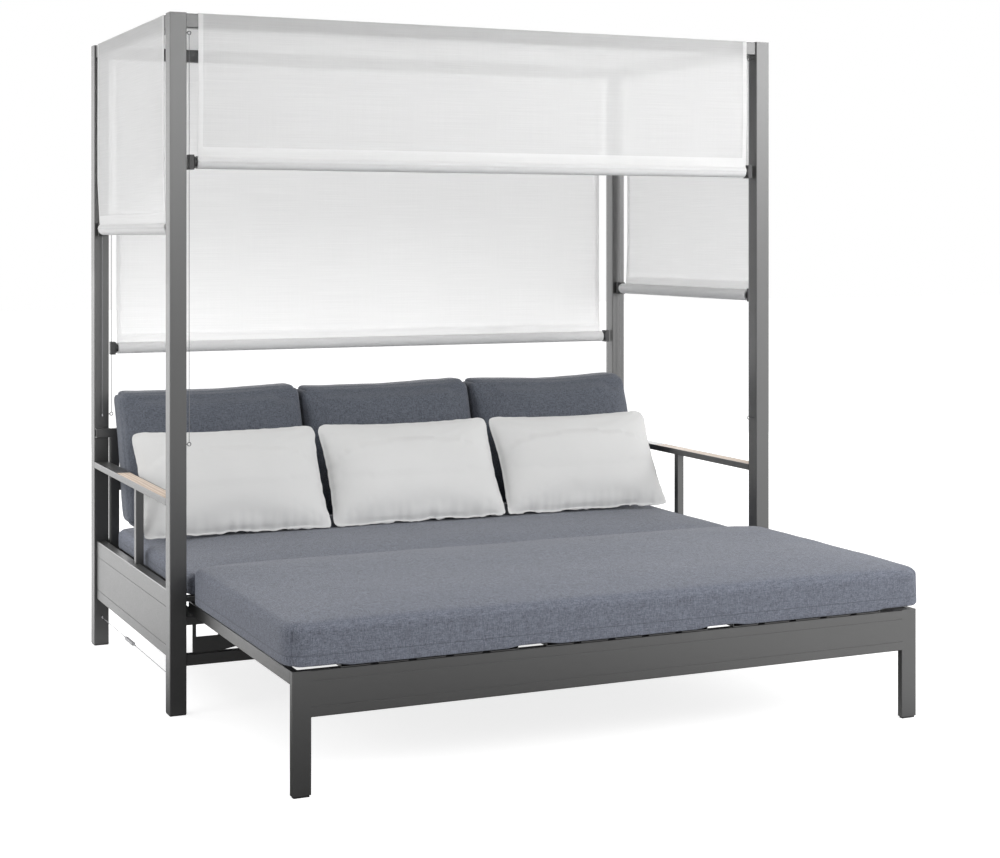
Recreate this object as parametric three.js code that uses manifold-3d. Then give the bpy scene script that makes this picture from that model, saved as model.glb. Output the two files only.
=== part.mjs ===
// Outdoor daybed with canopy, in millimetres.
// +X is the sitter's left as seen from the front, -Y is the front, +Z is up.
// Places are worked out from the middle of the four posts at floor level, and
// the whole group is moved along Y at the end so that its box is centred.
import * as THREE from 'three';
import { mergeVertices } from 'three/addons/utils/BufferGeometryUtils.js';
import Module from 'manifold-3d';

const wasm = await Module();
wasm.setup();

// Driving dimensions
const width = 2050;
const depth = 1075;
const height = 2050;
const post = 50;
const fit = 0.3;
const overrun = 2;
const weld = 1;
const wall = 2;
const chamfer = 2;
const edge = 1;

// Caps and feet
const capThickness = 3;
const footThickness = 3;
const plugLength = 12;

// Roof
const clothThickness = 1.2;
const roofBeamWidth = 40;
const roofBeamHeight = 42;
const clothCornerGap = 36;

// Panels under the seat
const panelThickness = 30;
const panelInset = 8;
const panelBottom = 160;
const panelTop = 357;
const panelGrooveLow = 34;
const panelGrooveHigh = 147;
const grooveWidth = 3;
const grooveDepth = 1.2;

// Arms
const armTop = 627;
const armHeight = 20;
const armWoodThickness = 6;
const armWoodMargin = 3;
const armMetalLength = 325;
const armWoodFrontMargin = 4;
const baluster = 25;

// Backrest frame
const backrestTop = 742;
const backrestBar = 30;
const backrestDepth = 26;
const backrestMiddle = 530;

// Fixed frame under the seat
const stretcherDepth = 26;
const stretcherSetback = 26;
const stretcherBottom = 137;
const stretcherHeight = 33;
const railHeight = 24;
const railTop = 280;
const runnerWidth = 65;
const runnerHeight = 18;

// Fixed deck
const deckTop = 342;
const deckSlatThickness = 12;
const deckFrontWidth = 35;
const deckFrontThickness = 14;
const deckLip = 23;
const deckBackWidth = 46;
const deckBackHeight = 30;
const deckBackSetback = 85;

// Slats, alike on the deck and the pull-out
const slatGroups = 3;
const slatsPerGroup = 5;
const slatGap = 23;
const slatMargin = 127;
const slatGroupGap = 82;

// Pull-out
const pulloutInset = 78;
const pulloutOverlap = 85;
const pulloutClearance = 5;
const pulloutTop = 315;
const legWidth = 50;
const frontThickness = 20;
const frontBeamHeight = 117;
const frontBeamGroove = 26;
const pulloutFoot = 5;
const pulloutFootInset = 4;
const sideRailWidth = 20;
const sideRailHeight = 34.5;
const crossRailWidth = 25;
const crossRailReach = 410;
const pulloutSlatThickness = 12;

// Closing buffers on their brackets
const bracketReach = 147;
const bracketBarHeight = 35;
const bracketStep = 12;
const bracketPostWidth = 10;
const bracketHangerStart = 77;
const bracketHangerWidth = 15;
const bracketInset = 28;
const bracketThickness = 6;
const bufferRadius = 11;
const bufferAxisDrop = 17;

// Seat cushions
const seatTop = 428;
const seatCrown = 8;
const seatInset = 58;
const seatRear = 8;
const mattressTop = 458;
const mattressCrown = 16;
const mattressBeyond = 23;
const mattressOverhang = 18;
const seatRound = 9;
const seatPull = 3;
const seatCorner = 16;

// Back cushions
const backCushionInset = 57;
const backCushionHeight = 462;
const backCushionThickness = 145;
const backCushionCrown = 32;
const backCushionHollow = 10;
const backCushionPull = 7;
const backCushionCorner = 20;
const backCushionRound = 14;
const backCushionLean = 0.32;

// Pillows
const pillowInset = 67.5;
const pillowGap = 1;
const pillowHeight = 392;
const pillowCrown = 62;
const pillowPull = 6;
const pillowCorner = 8;
const pillowShift = -17;
const pillowTilt = THREE.MathUtils.degToRad(58);
const pillowAhead = 219;

// Guide wires and their screw eyes
const wireRadius = 1;
const wireFromPost = 14;
const upperEyeDrop = 57;
const lowerEyeHeight = 787;
const eyeRadius = 5.5;
const eyeWire = 1.3;
const shankRadius = 1.6;

// Tension wires low on the sides
const tensionHeight = 97;
const turnbuckleLength = 150;
const turnbuckleRadius = 6;
const turnbuckleNeck = 2.2;
const turnbuckleCone = 14;
const turnbuckleShift = 70;

// Blinds
const rollRadius = 20;
const hubRadius = 14;
const hubLength = 9.6;
const axleRadius = 6;
const axleGap = 0.6;
const clampWidth = 16;
const clampDepth = 30;
const clampHeight = 44;
const clampBore = 1.5;
const blindHeights = { front: 1614, left: 1421, right: 1198, back: 1013 };

// Faceting
const roundSides = 16;
const smallSides = 8;
const ringSides = 4;
const padColumns = 14;
const padRows = 10;
const padBands = 3;
const edgePower = 8;
const pillowPower = 2.4;
const cornerPower = 5;
const roundPower = 0.5;

// Directions
const RIGHT = new THREE.Vector3(1, 0, 0);
const LEFT = new THREE.Vector3(-1, 0, 0);
const BACK = new THREE.Vector3(0, 1, 0);
const FRONT = new THREE.Vector3(0, -1, 0);
const UP = new THREE.Vector3(0, 0, 1);

// Finishes
const finish = (color, roughness, metalness) =>
  new THREE.MeshStandardMaterial({ color, roughness, metalness });
const coat = () => finish(0x5d5d5c, 0.45, 0.6);
const blackPlastic = () => finish(0x1c1c1d, 0.6, 0);
const whiteCloth = () => finish(0xececea, 0.9, 0);
const lightWood = () => finish(0xcfae8c, 0.6, 0);
const steel = () => finish(0xb5b6b8, 0.3, 0.9);
const greyFabric = () => finish(0x6b707c, 0.95, 0);
const darkFabric = () => finish(0x4a4f59, 0.95, 0);
const paleFabric = () => finish(0xd4d4d4, 0.95, 0);

const halfWidth = width / 2;
const halfDepth = depth / 2;
const innerWidth = width - 2 * post;
const innerDepth = depth - 2 * post;
const innerX = halfWidth - post;
const innerY = halfDepth - post;
const postX = halfWidth - post / 2;
const postY = halfDepth - post / 2;
const front = -halfDepth;
const pulloutWidth = width - 2 * pulloutInset;
const pulloutLength = depth - deckBackSetback - pulloutClearance;
const pulloutTravel = pulloutLength - pulloutOverlap;

const daybed = new THREE.Group();

// Bare closed geometry with its shared corners merged
function bare(geometry) {
  const copy = geometry.clone();
  copy.deleteAttribute('normal');
  copy.deleteAttribute('uv');
  return mergeVertices(copy);
}

function toSolid(geometry) {
  const clean = bare(geometry);
  return new wasm.Manifold(new wasm.Mesh({
    numProp: 3,
    vertProperties: new Float32Array(clean.attributes.position.array),
    triVerts: new Uint32Array(clean.index.array),
  }));
}

function fromSolid(solid) {
  const mesh = solid.getMesh();
  const geometry = new THREE.BufferGeometry();
  geometry.setAttribute('position', new THREE.BufferAttribute(mesh.vertProperties, 3));
  geometry.setIndex(new THREE.BufferAttribute(mesh.triVerts, 1));
  return geometry;
}

// One solid from pieces that are welded or tied together, less what is cut out of them
function joined(pieces, cuts = []) {
  const whole = pieces.map(toSolid).reduce((sum, next) => sum.add(next));
  return fromSolid(cuts.map(toSolid).reduce((rest, next) => rest.subtract(next), whole));
}

function piece(name, geometry, material, place = new THREE.Vector3()) {
  const shape = bare(geometry);
  shape.computeVertexNormals();
  const mesh = new THREE.Mesh(shape, material);
  mesh.name = name;
  mesh.position.copy(place);
  daybed.add(mesh);
}

const at = (geometry, x, y, z) => geometry.clone().translate(x, y, z);
const spot = (x, y, z) => new THREE.Vector3(x, y, z);

// Outlines, centred, with their first axis across and the second one up
function outline(across, up, corner) {
  const a = across / 2;
  const b = up / 2;
  return shapeOf([
    [-a + corner, -b], [a - corner, -b], [a, -b + corner], [a, b - corner],
    [a - corner, b], [-a + corner, b], [-a, b - corner], [-a, -b + corner],
  ]);
}

function shapeOf(points) {
  return new THREE.Shape(points.map(([x, y]) => new THREE.Vector2(x, y)));
}

// A board's outline with grooves in its outward side at the heights given
function grooved(across, up, grooves) {
  const a = across / 2;
  const b = up / 2;
  const side = grooves.map((groove) => groove - b).flatMap((middle) => [
    [a, middle - grooveWidth / 2], [a - grooveDepth, middle - grooveWidth / 2],
    [a - grooveDepth, middle + grooveWidth / 2], [a, middle + grooveWidth / 2],
  ]);
  return shapeOf([
    [-a, -b], [a - chamfer, -b], [a, -b + chamfer], ...side, [a, b - chamfer], [a - chamfer, b],
    [-a, b],
  ]);
}

// An outline drawn out along a straight line, centred, with its two axes turned as given
function drawn(shape, length, across, up) {
  const geometry = new THREE.ExtrudeGeometry(shape, { depth: length, bevelEnabled: false });
  geometry.translate(0, 0, -length / 2);
  const along = new THREE.Vector3().crossVectors(across, up);
  return geometry.applyMatrix4(new THREE.Matrix4().makeBasis(across, up, along));
}

const box = (x, y, z) => new THREE.BoxGeometry(x, y, z);
const barX = (length, y, z, corner = edge) => drawn(outline(y, z, corner), length, BACK, UP);
const barY = (length, x, z, corner = edge) => drawn(outline(x, z, corner), length, RIGHT, UP);
const barZ = (length, x, y, corner = edge) => drawn(outline(x, y, corner), length, RIGHT, BACK);

// The space inside a tube, run on past its ends so that it opens them or the wall it joins
const pierce = 2 * (wall + overrun);
const coreX = (length, y, z) => box(length + pierce, y - 2 * wall, z - 2 * wall);
const coreY = (length, x, z) => box(x - 2 * wall, length + pierce, z - 2 * wall);
const coreZ = (length, x, y) => box(x - 2 * wall, y - 2 * wall, length + pierce);

function rod(radius, length, direction, sides = smallSides) {
  const geometry = new THREE.CylinderGeometry(radius, radius, length, sides);
  const turn = new THREE.Quaternion().setFromUnitVectors(BACK, direction);
  return geometry.applyQuaternion(turn);
}

// Posts, closed at the top, on plugs with a foot plate
const corners = [
  ['front_left', -1, -1], ['front_right', 1, -1], ['back_left', -1, 1], ['back_right', 1, 1],
];
const postBottom = footThickness + fit;
const postLength = height - postBottom;
const postTube = joined(
  [barZ(postLength, post, post, chamfer)],
  [at(coreZ(postLength, post, post), 0, 0, -pierce / 2 - capThickness)],
);
const plug = post - 2 * wall - 2 * fit;
const foot = joined([
  at(barZ(footThickness, post - chamfer, post - chamfer), 0, 0, footThickness / 2),
  at(box(plug, plug, plugLength + footThickness - weld), 0, 0, (plugLength + footThickness + weld) / 2),
]);
for (const [place, sx, sy] of corners) {
  const middle = postBottom + postLength / 2;
  piece(`post_${place}`, postTube, coat(), spot(sx * postX, sy * postY, middle));
  piece(`post_foot_${place}`, foot, blackPlastic(), spot(sx * postX, sy * postY, 0));
}

// Roof beams between the posts
const frontLength = innerWidth - 2 * fit;
const sideLength = innerDepth - 2 * fit;
const beamTop = height - clothThickness - 2 * fit;
const beamZ = beamTop - roofBeamHeight / 2;
const longBeam = joined(
  [barX(frontLength, roofBeamWidth, roofBeamHeight, chamfer)],
  [coreX(frontLength, roofBeamWidth, roofBeamHeight)],
);
const shortBeam = joined(
  [barY(sideLength, roofBeamWidth, roofBeamHeight, chamfer)],
  [coreY(sideLength, roofBeamWidth, roofBeamHeight)],
);
piece('roof_beam_front', longBeam, coat(), spot(0, -postY, beamZ));
piece('roof_beam_back', longBeam, coat(), spot(0, postY, beamZ));
piece('roof_beam_left', shortBeam, coat(), spot(-postX, 0, beamZ));
piece('roof_beam_right', shortBeam, coat(), spot(postX, 0, beamZ));

// Roof cloth, laid over the beams with its corners cut away
const clothPlaneX = postX + roofBeamWidth / 2 + fit;
const clothPlaneY = postY + roofBeamWidth / 2 + fit;
function roofCloth() {
  const x = clothPlaneX + clothThickness;
  const y = clothPlaneY + clothThickness;
  const cx = innerX - clothCornerGap;
  const cy = innerY - clothCornerGap;
  const shape = shapeOf([
    [-cx, -y], [cx, -y], [cx, -cy], [x, -cy], [x, cy], [cx, cy],
    [cx, y], [-cx, y], [-cx, cy], [-x, cy], [-x, -cy], [-cx, -cy],
  ]);
  return drawn(shape, clothThickness, RIGHT, BACK);
}
piece('roof_canopy', roofCloth(), whiteCloth(), spot(0, 0, beamTop + fit + clothThickness / 2));

// Side and back panels
const panelHeight = panelTop - panelBottom;
const panelZ = (panelTop + panelBottom) / 2;
const panelShape = grooved(panelThickness, panelHeight, [panelGrooveLow, panelGrooveHigh]);
const panelX = halfWidth - panelInset - panelThickness / 2;
const panelY = halfDepth - panelInset - panelThickness / 2;
const sideCore = coreY(sideLength, panelThickness, panelHeight);
const sidePanel = (out) => joined([drawn(panelShape, sideLength, out, UP)], [sideCore]);
piece('side_panel_left', sidePanel(LEFT), coat(), spot(-panelX, 0, panelZ));
piece('side_panel_right', sidePanel(RIGHT), coat(), spot(panelX, 0, panelZ));
const backPanel = joined(
  [drawn(panelShape, frontLength, BACK, UP)],
  [coreX(frontLength, panelThickness, panelHeight)],
);
piece('back_panel', backPanel, coat(), spot(0, panelY, panelZ));

// Arms, each with a wood top let into it and a baluster under it
const woodLength = innerDepth - armMetalLength - armWoodFrontMargin;
const woodY = armWoodFrontMargin + woodLength / 2 - innerY;
const woodWidth = post - 2 * armWoodMargin;
const armUnder = armTop - armHeight;
const balusterLength = armUnder + weld - panelTop - fit;
const balusterX = innerX + baluster / 2;
const balusterZ = armUnder + weld - balusterLength / 2;
const recessHeight = armWoodThickness + overrun;
const armCoreHeight = armHeight - armWoodThickness;
for (const [place, s] of [['left', -1], ['right', 1]]) {
  const arm = joined([
    at(barY(sideLength, post, armHeight), s * postX, 0, armTop - armHeight / 2),
    at(barZ(balusterLength, baluster, baluster), s * balusterX, 0, balusterZ),
  ], [
    at(coreY(sideLength, post, armCoreHeight), s * postX, 0, armUnder + armCoreHeight / 2),
    at(coreZ(balusterLength, baluster, baluster), s * balusterX, 0, balusterZ),
    at(box(woodWidth, woodLength, recessHeight), s * postX, woodY,
      armTop - armWoodThickness + recessHeight / 2),
  ]);
  piece(`arm_${place}`, arm, coat());
  const wood = barY(woodLength - 2 * fit, woodWidth - 2 * fit, armWoodThickness - fit);
  const woodZ = armTop - (armWoodThickness - fit) / 2;
  piece(`arm_wood_${place}`, wood, lightWood(), spot(s * postX, woodY, woodZ));
}

// Low front stretcher with the brackets that carry the closing buffers
const stretcherY = front + stretcherSetback + stretcherDepth / 2;
const stretcherTop = stretcherBottom + stretcherHeight;
const stretcherZ = stretcherBottom + stretcherHeight / 2;
const bracketStart = innerX - bracketInset;
const bracketHigh = railTop - railHeight - fit;
const bracketBarLow = stretcherTop + bracketStep;
const bracketBarHigh = bracketBarLow + bracketBarHeight;
function bracket(out) {
  const foot = stretcherTop - weld;
  const hanger = bracketReach - bracketHangerStart;
  const shape = shapeOf([
    [0, foot], [0, bracketHigh], [-bracketPostWidth, bracketHigh],
    [-bracketPostWidth, bracketBarHigh], [-bracketHangerStart, bracketBarHigh],
    [-bracketHangerStart, bracketHigh], [-bracketHangerStart - bracketHangerWidth, bracketHigh],
    [-bracketHangerStart - bracketHangerWidth, bracketBarHigh], [-bracketReach, bracketBarHigh],
    [-bracketReach, bracketBarLow], [-hanger, foot],
  ]);
  return drawn(shape, bracketThickness, out, UP).translate(out.x * bracketStart, stretcherY, 0);
}
const stretcher = joined([
  at(barX(frontLength, stretcherDepth, stretcherHeight), 0, stretcherY, stretcherZ),
  bracket(LEFT), bracket(RIGHT),
], [at(coreX(frontLength, stretcherDepth, stretcherHeight), 0, stretcherY, stretcherZ)]);
piece('front_stretcher', stretcher, coat());
const bufferFront = front + frontThickness + fit;
const bufferBack = stretcherY - bracketThickness / 2 - fit;
const bufferX = bracketStart - bracketReach + bufferRadius + chamfer;
const buffer = rod(bufferRadius, bufferBack - bufferFront, BACK, roundSides);
const bufferPlace = (s) =>
  spot(s * bufferX, (bufferFront + bufferBack) / 2, bracketBarHigh - bufferAxisDrop);
piece('closing_buffer_left', buffer, blackPlastic(), bufferPlace(-1));
piece('closing_buffer_right', buffer, blackPlastic(), bufferPlace(1));

// Frame that the pull-out slides on: a rail at the front and a runner along each side panel
const runnerX = panelX - panelThickness / 2 - fit - runnerWidth / 2;
const runnerZ = railTop - runnerHeight / 2;
const railZ = railTop - railHeight / 2;
const slideFrame = joined([
  at(barX(frontLength, stretcherDepth, railHeight), 0, stretcherY, railZ),
  at(barY(sideLength, runnerWidth, runnerHeight), -runnerX, 0, runnerZ),
  at(barY(sideLength, runnerWidth, runnerHeight), runnerX, 0, runnerZ),
], [
  at(coreX(frontLength, stretcherDepth, railHeight), 0, stretcherY, railZ),
  at(coreY(sideLength, runnerWidth, runnerHeight), -runnerX, 0, runnerZ),
  at(coreY(sideLength, runnerWidth, runnerHeight), runnerX, 0, runnerZ),
]);
piece('slide_frame', slideFrame, coat());

// Slat places, alike on the deck and the pull-out
const slattedWidth = pulloutWidth - 2 * slatMargin;
const slatGroupPitch = (slattedWidth + slatGroupGap) / slatGroups;
const slatPitch = (slatGroupPitch - slatGroupGap + slatGap) / slatsPerGroup;
const slatWidth = slatPitch - slatGap;
const slatXs = [];
for (let group = 0; group < slatGroups; group += 1) {
  const middle = (group - (slatGroups - 1) / 2) * slatGroupPitch;
  for (let slat = 0; slat < slatsPerGroup; slat += 1) {
    slatXs.push(middle + (slat - (slatsPerGroup - 1) / 2) * slatPitch);
  }
}

// Fixed deck: slats between a lipped front rail and a back rail
const deckFrontY = front + stretcherSetback / 2;
const deckLedge = deckTop - deckSlatThickness;
const deckBackFront = halfDepth - deckBackSetback;
const backrestY = innerY - fit - backrestDepth / 2;
const deckFrontRailY = deckFrontY + deckFrontWidth / 2;
const deckFrontRailZ = deckTop - deckFrontThickness / 2;
const lipThickness = deckFrontThickness - deckSlatThickness;
const lipWidth = deckLip + wall;
const lipY = deckFrontY + deckFrontWidth - wall + lipWidth / 2;
const deckBackY = deckBackFront + deckBackWidth / 2;
const deckBackZ = deckLedge - deckBackHeight / 2;
const deckSlatHeight = deckSlatThickness + weld;
const deckSlatFront = deckFrontY + deckFrontWidth - weld;
const deckSlatBack = backrestY - backrestDepth / 2 - fit;
const deckSlatLength = deckSlatBack - deckSlatFront;
const deckSlatY = (deckSlatFront + deckSlatBack) / 2;
const deckSlatZ = deckTop - deckSlatHeight / 2;
const deckSlat = barY(deckSlatLength, slatWidth, deckSlatHeight);
const deckSlatCore = coreY(deckSlatLength, slatWidth, deckSlatHeight);
const deck = joined([
  at(barX(frontLength, deckFrontWidth, deckFrontThickness), 0, deckFrontRailY, deckFrontRailZ),
  at(box(frontLength, lipWidth, lipThickness), 0, lipY, deckLedge - lipThickness / 2),
  at(barX(frontLength, deckBackWidth, deckBackHeight), 0, deckBackY, deckBackZ),
  ...slatXs.map((x) => at(deckSlat, x, deckSlatY, deckSlatZ)),
], [
  at(coreX(frontLength, deckFrontWidth, deckFrontThickness), 0, deckFrontRailY, deckFrontRailZ),
  at(coreX(frontLength, deckBackWidth, deckBackHeight), 0, deckBackY, deckBackZ),
  ...slatXs.map((x) => at(deckSlatCore, x, deckSlatY, deckSlatZ)),
]);
piece('deck', deck, coat());

// Backrest frame: stiles that stand on the deck's back rail, a top rail and middle rails
const stileBottom = deckLedge + fit;
const stileTop = backrestTop - backrestBar + weld;
const stileLength = stileTop - stileBottom;
const stileZ = (stileTop + stileBottom) / 2;
const stileReach = innerX - fit - backrestBar / 2;
const stileShares = [-1, -1 / 3, 1 / 3, 1];
const topRailLength = width - 2 * chamfer;
const topRailZ = backrestTop - backrestBar / 2;
const middleRailZ = backrestMiddle + backrestBar / 2;
const middleRailLength = 2 * stileReach;
const stilesOf = (geometry) =>
  stileShares.map((share) => at(geometry, share * stileReach, backrestY, stileZ));
const backrest = joined([
  at(barX(topRailLength, backrestDepth, backrestBar), 0, backrestY, topRailZ),
  at(barX(middleRailLength, backrestDepth - weld, backrestBar), 0, backrestY, middleRailZ),
  ...stilesOf(barZ(stileLength, backrestBar, backrestDepth)),
], [
  at(coreX(topRailLength, backrestDepth, backrestBar), 0, backrestY, topRailZ),
  at(coreX(middleRailLength - pierce, backrestDepth, backrestBar), 0, backrestY, middleRailZ),
  ...stilesOf(coreZ(stileLength, backrestBar, backrestDepth)),
]);
piece('backrest_frame', backrest, coat());

// Pull-out, drawn out to its stop: a front of two legs and a beam, and a bed of rails and slats
const outFront = front - pulloutTravel;
const outBack = outFront + pulloutLength;
const outHalf = pulloutWidth / 2;
const legX = outHalf - legWidth / 2;
const legY = outFront + frontThickness / 2;
const legBottom = pulloutFoot + fit;
const legLength = pulloutTop - legBottom;
const legZ = (pulloutTop + legBottom) / 2;
const frontBeamLength = pulloutWidth - 2 * legWidth + 2 * weld;
const frontBeamZ = pulloutTop - frontBeamHeight / 2;
const frontBeamShape = grooved(
  frontThickness, frontBeamHeight, [frontBeamGroove, frontBeamHeight - frontBeamGroove]);
const legsOf = (geometry) => [-1, 1].map((s) => at(geometry, s * legX, legY, legZ));
const pulloutFront = joined([
  at(drawn(frontBeamShape, frontBeamLength, FRONT, UP), 0, legY, frontBeamZ),
  ...legsOf(barZ(legLength, legWidth, frontThickness)),
], [
  at(coreX(frontBeamLength, frontThickness, frontBeamHeight), 0, legY, frontBeamZ),
  ...legsOf(at(coreZ(legLength, legWidth, frontThickness), 0, 0, -pierce / 2 - wall)),
]);
piece('pullout_front', pulloutFront, coat());
const outFoot = barZ(pulloutFoot, legWidth - 2 * pulloutFootInset, frontThickness - pulloutFootInset);
piece('pullout_foot_left', outFoot, blackPlastic(), spot(-legX, legY, pulloutFoot / 2));
piece('pullout_foot_right', outFoot, blackPlastic(), spot(legX, legY, pulloutFoot / 2));

const sideRailFront = outFront + frontThickness + fit;
const sideRailLength = outBack - sideRailFront;
const sideRailX = outHalf - sideRailWidth / 2;
const sideRailY = (outBack + sideRailFront) / 2;
const outRailZ = pulloutTop - sideRailHeight / 2;
const crossLength = pulloutWidth - 2 * sideRailWidth + 2 * weld;
const crossYs = [outBack - crossRailWidth / 2, front - crossRailReach];
const crossHeight = sideRailHeight + fit + weld;
const crossZ = pulloutTop - sideRailHeight + crossHeight / 2;
const outSlatHeight = pulloutSlatThickness - fit;
const outSlatZ = pulloutTop + fit + outSlatHeight / 2;
const outSlatFront = outFront + fit;
const outSlatLength = outBack - outSlatFront;
const outSlatY = (outBack + outSlatFront) / 2;
const bedOf = (side, cross, slat) => [
  at(side, -sideRailX, sideRailY, outRailZ),
  at(side, sideRailX, sideRailY, outRailZ),
  ...crossYs.map((y) => at(cross, 0, y, crossZ)),
  ...slatXs.map((x) => at(slat, x, outSlatY, outSlatZ)),
];
const bed = joined(
  bedOf(
    barY(sideRailLength, sideRailWidth, sideRailHeight),
    barX(crossLength, crossRailWidth, crossHeight),
    barY(outSlatLength, slatWidth, outSlatHeight),
  ),
  bedOf(
    coreY(sideRailLength, sideRailWidth, sideRailHeight),
    coreX(crossLength, crossRailWidth, sideRailHeight - wall),
    coreY(outSlatLength, slatWidth, outSlatHeight),
  ),
);
piece('pullout_bed', bed, coat());

// A closed pad: a crowned top and underside, drawn in between corners, with rounded sides
function pad(size) {
  const positions = [];
  const index = [];
  const ease = (step, steps) => Math.sin((step / steps - 1 / 2) * Math.PI);
  const swell = (u, v) =>
    (1 - Math.abs(u) ** size.power) * (1 - Math.abs(v) ** size.power);
  function planPoint(u, v, inset) {
    const corner = size.corner * Math.abs(u * v) ** cornerPower + inset;
    return [
      u * (size.width / 2 - size.pull * (1 - v * v) - corner),
      v * (size.depth / 2 - size.pull * (1 - u * u) - corner),
    ];
  }
  const cell = (first, i, j) => first + j * (padColumns + 1) + i;
  const quad = (a, b, c, d) => index.push(a, b, c, a, c, d);
  function grid(heightAt) {
    const first = positions.length / 3;
    for (let j = 0; j <= padRows; j += 1) {
      for (let i = 0; i <= padColumns; i += 1) {
        const u = ease(i, padColumns);
        const v = ease(j, padRows);
        positions.push(...planPoint(u, v, size.round), heightAt(u, v));
      }
    }
    return first;
  }
  const top = grid((u, v) => size.rise + size.crown * swell(u, v));
  const under = grid((u, v) => -size.under * swell(u, v));
  for (let j = 0; j < padRows; j += 1) {
    for (let i = 0; i < padColumns; i += 1) {
      const square = [[i, j], [i + 1, j], [i + 1, j + 1], [i, j + 1]];
      quad(...square.map(([a, b]) => cell(top, a, b)));
      quad(...square.reverse().map(([a, b]) => cell(under, a, b)));
    }
  }
  const rim = [];
  for (let i = 0; i < padColumns; i += 1) rim.push([i, 0]);
  for (let j = 0; j < padRows; j += 1) rim.push([padColumns, j]);
  for (let i = padColumns; i > 0; i -= 1) rim.push([i, padRows]);
  for (let j = padRows; j > 0; j -= 1) rim.push([0, j]);
  let upper = rim.map(([i, j]) => cell(top, i, j));
  for (let band = 1; band <= padBands && size.rise > 0; band += 1) {
    const share = band / padBands;
    const inset = size.round * (1 - Math.sin(share * Math.PI) ** roundPower);
    const lower = rim.map(([i, j]) => {
      if (band === padBands) return cell(under, i, j);
      const [x, y] = planPoint(ease(i, padColumns), ease(j, padRows), inset);
      return positions.push(x, y, size.rise * (1 - share)) / 3 - 1;
    });
    for (let k = 0; k < rim.length; k += 1) {
      const next = (k + 1) % rim.length;
      quad(lower[k], lower[next], upper[next], upper[k]);
    }
    upper = lower;
  }
  const geometry = new THREE.BufferGeometry();
  geometry.setAttribute('position', new THREE.Float32BufferAttribute(positions, 3));
  geometry.setIndex(index);
  return mergeVertices(geometry);
}

// Moves a geometry so that its lowest point lies at zero
function setDown(geometry) {
  geometry.computeBoundingBox();
  return geometry.translate(0, 0, -geometry.boundingBox.min.z);
}

// Rear seat cushion on the fixed deck, and the front mattress on the pull-out
function seatPad(padWidth, padDepth, thickness, crown) {
  return pad({
    width: padWidth,
    depth: padDepth,
    rise: thickness - crown,
    crown,
    under: 0,
    pull: seatPull,
    corner: seatCorner,
    round: seatRound,
    power: edgePower,
  });
}
const seatBottom = deckTop + fit;
const rearSeatFront = front + fit / 2;
const rearSeatBack = deckSlatBack - seatRear;
const rearSeat = seatPad(
  width - 2 * seatInset, rearSeatBack - rearSeatFront, seatTop - seatBottom, seatCrown);
const rearSeatY = (rearSeatFront + rearSeatBack) / 2;
piece('rear_cushion', rearSeat, greyFabric(), spot(0, rearSeatY, seatBottom));
const mattressBottom = pulloutTop + pulloutSlatThickness + fit;
const mattressBack = front - fit / 2;
const mattressFront = outFront - mattressOverhang;
const mattressWidth = pulloutWidth + 2 * mattressBeyond;
const mattress = seatPad(
  mattressWidth, mattressBack - mattressFront, mattressTop - mattressBottom, mattressCrown);
const mattressY = (mattressBack + mattressFront) / 2;
piece('front_mattress', mattress, greyFabric(), spot(0, mattressY, mattressBottom));

// Three back cushions that stand on the seat and lean on the backrest's top rail
const lean = new THREE.Matrix4().set(
  1, 0, 0, 0,
  0, 1, backCushionLean, 0,
  0, 0, 1, 0,
  0, 0, 0, 1,
);
const places = [['left', -1], ['middle', 0], ['right', 1]];
const backCushionPitch = (width - 2 * backCushionInset) / places.length;
const backCushion = setDown(pad({
  width: backCushionPitch,
  depth: backCushionHeight,
  rise: backCushionThickness,
  crown: backCushionCrown,
  under: backCushionHollow,
  pull: backCushionPull,
  corner: backCushionCorner,
  round: backCushionRound,
  power: pillowPower,
}).rotateX(Math.PI / 2)).applyMatrix4(lean);
const cushionFoot = seatTop + fit;
const railFront = backrestY - backrestDepth / 2 - fit;
const cushionY = railFront - backCushionHollow - backCushionLean * (backrestTop - cushionFoot);

// Three pillows propped in front of them
const pillowPitch = (width - 2 * pillowInset) / places.length;
const pillow = setDown(pad({
  width: pillowPitch - pillowGap,
  depth: pillowHeight,
  rise: 0,
  crown: pillowCrown,
  under: pillowCrown,
  pull: pillowPull,
  corner: pillowCorner,
  round: 0,
  power: pillowPower,
}).rotateX(pillowTilt));
const pillowFoot = cushionY - backCushionThickness - pillowAhead;
const pillowY = pillowFoot + pillowHeight / 2 * Math.cos(pillowTilt);
for (const [place, order] of places) {
  const cushionPlace = spot(order * backCushionPitch, cushionY, cushionFoot);
  piece(`back_cushion_${place}`, backCushion, darkFabric(), cushionPlace);
  const pillowPlace = spot(pillowShift + order * pillowPitch, pillowY, cushionFoot);
  piece(`pillow_${place}`, pillow, paleFabric(), pillowPlace);
}

// A screw eye: a ring in the plane of its side, on a shank that starts at the post's face
function screwEye(toPost, ringAxis) {
  const ring = new THREE.TorusGeometry(eyeRadius, eyeWire, ringSides, smallSides);
  ring.applyQuaternion(new THREE.Quaternion().setFromUnitVectors(UP, ringAxis));
  const length = wireFromPost - fit - eyeRadius;
  const middle = toPost.clone().multiplyScalar(eyeRadius + length / 2);
  const shank = rod(shankRadius, length, toPost).translate(middle.x, middle.y, middle.z);
  return joined([ring, shank]);
}

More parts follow.
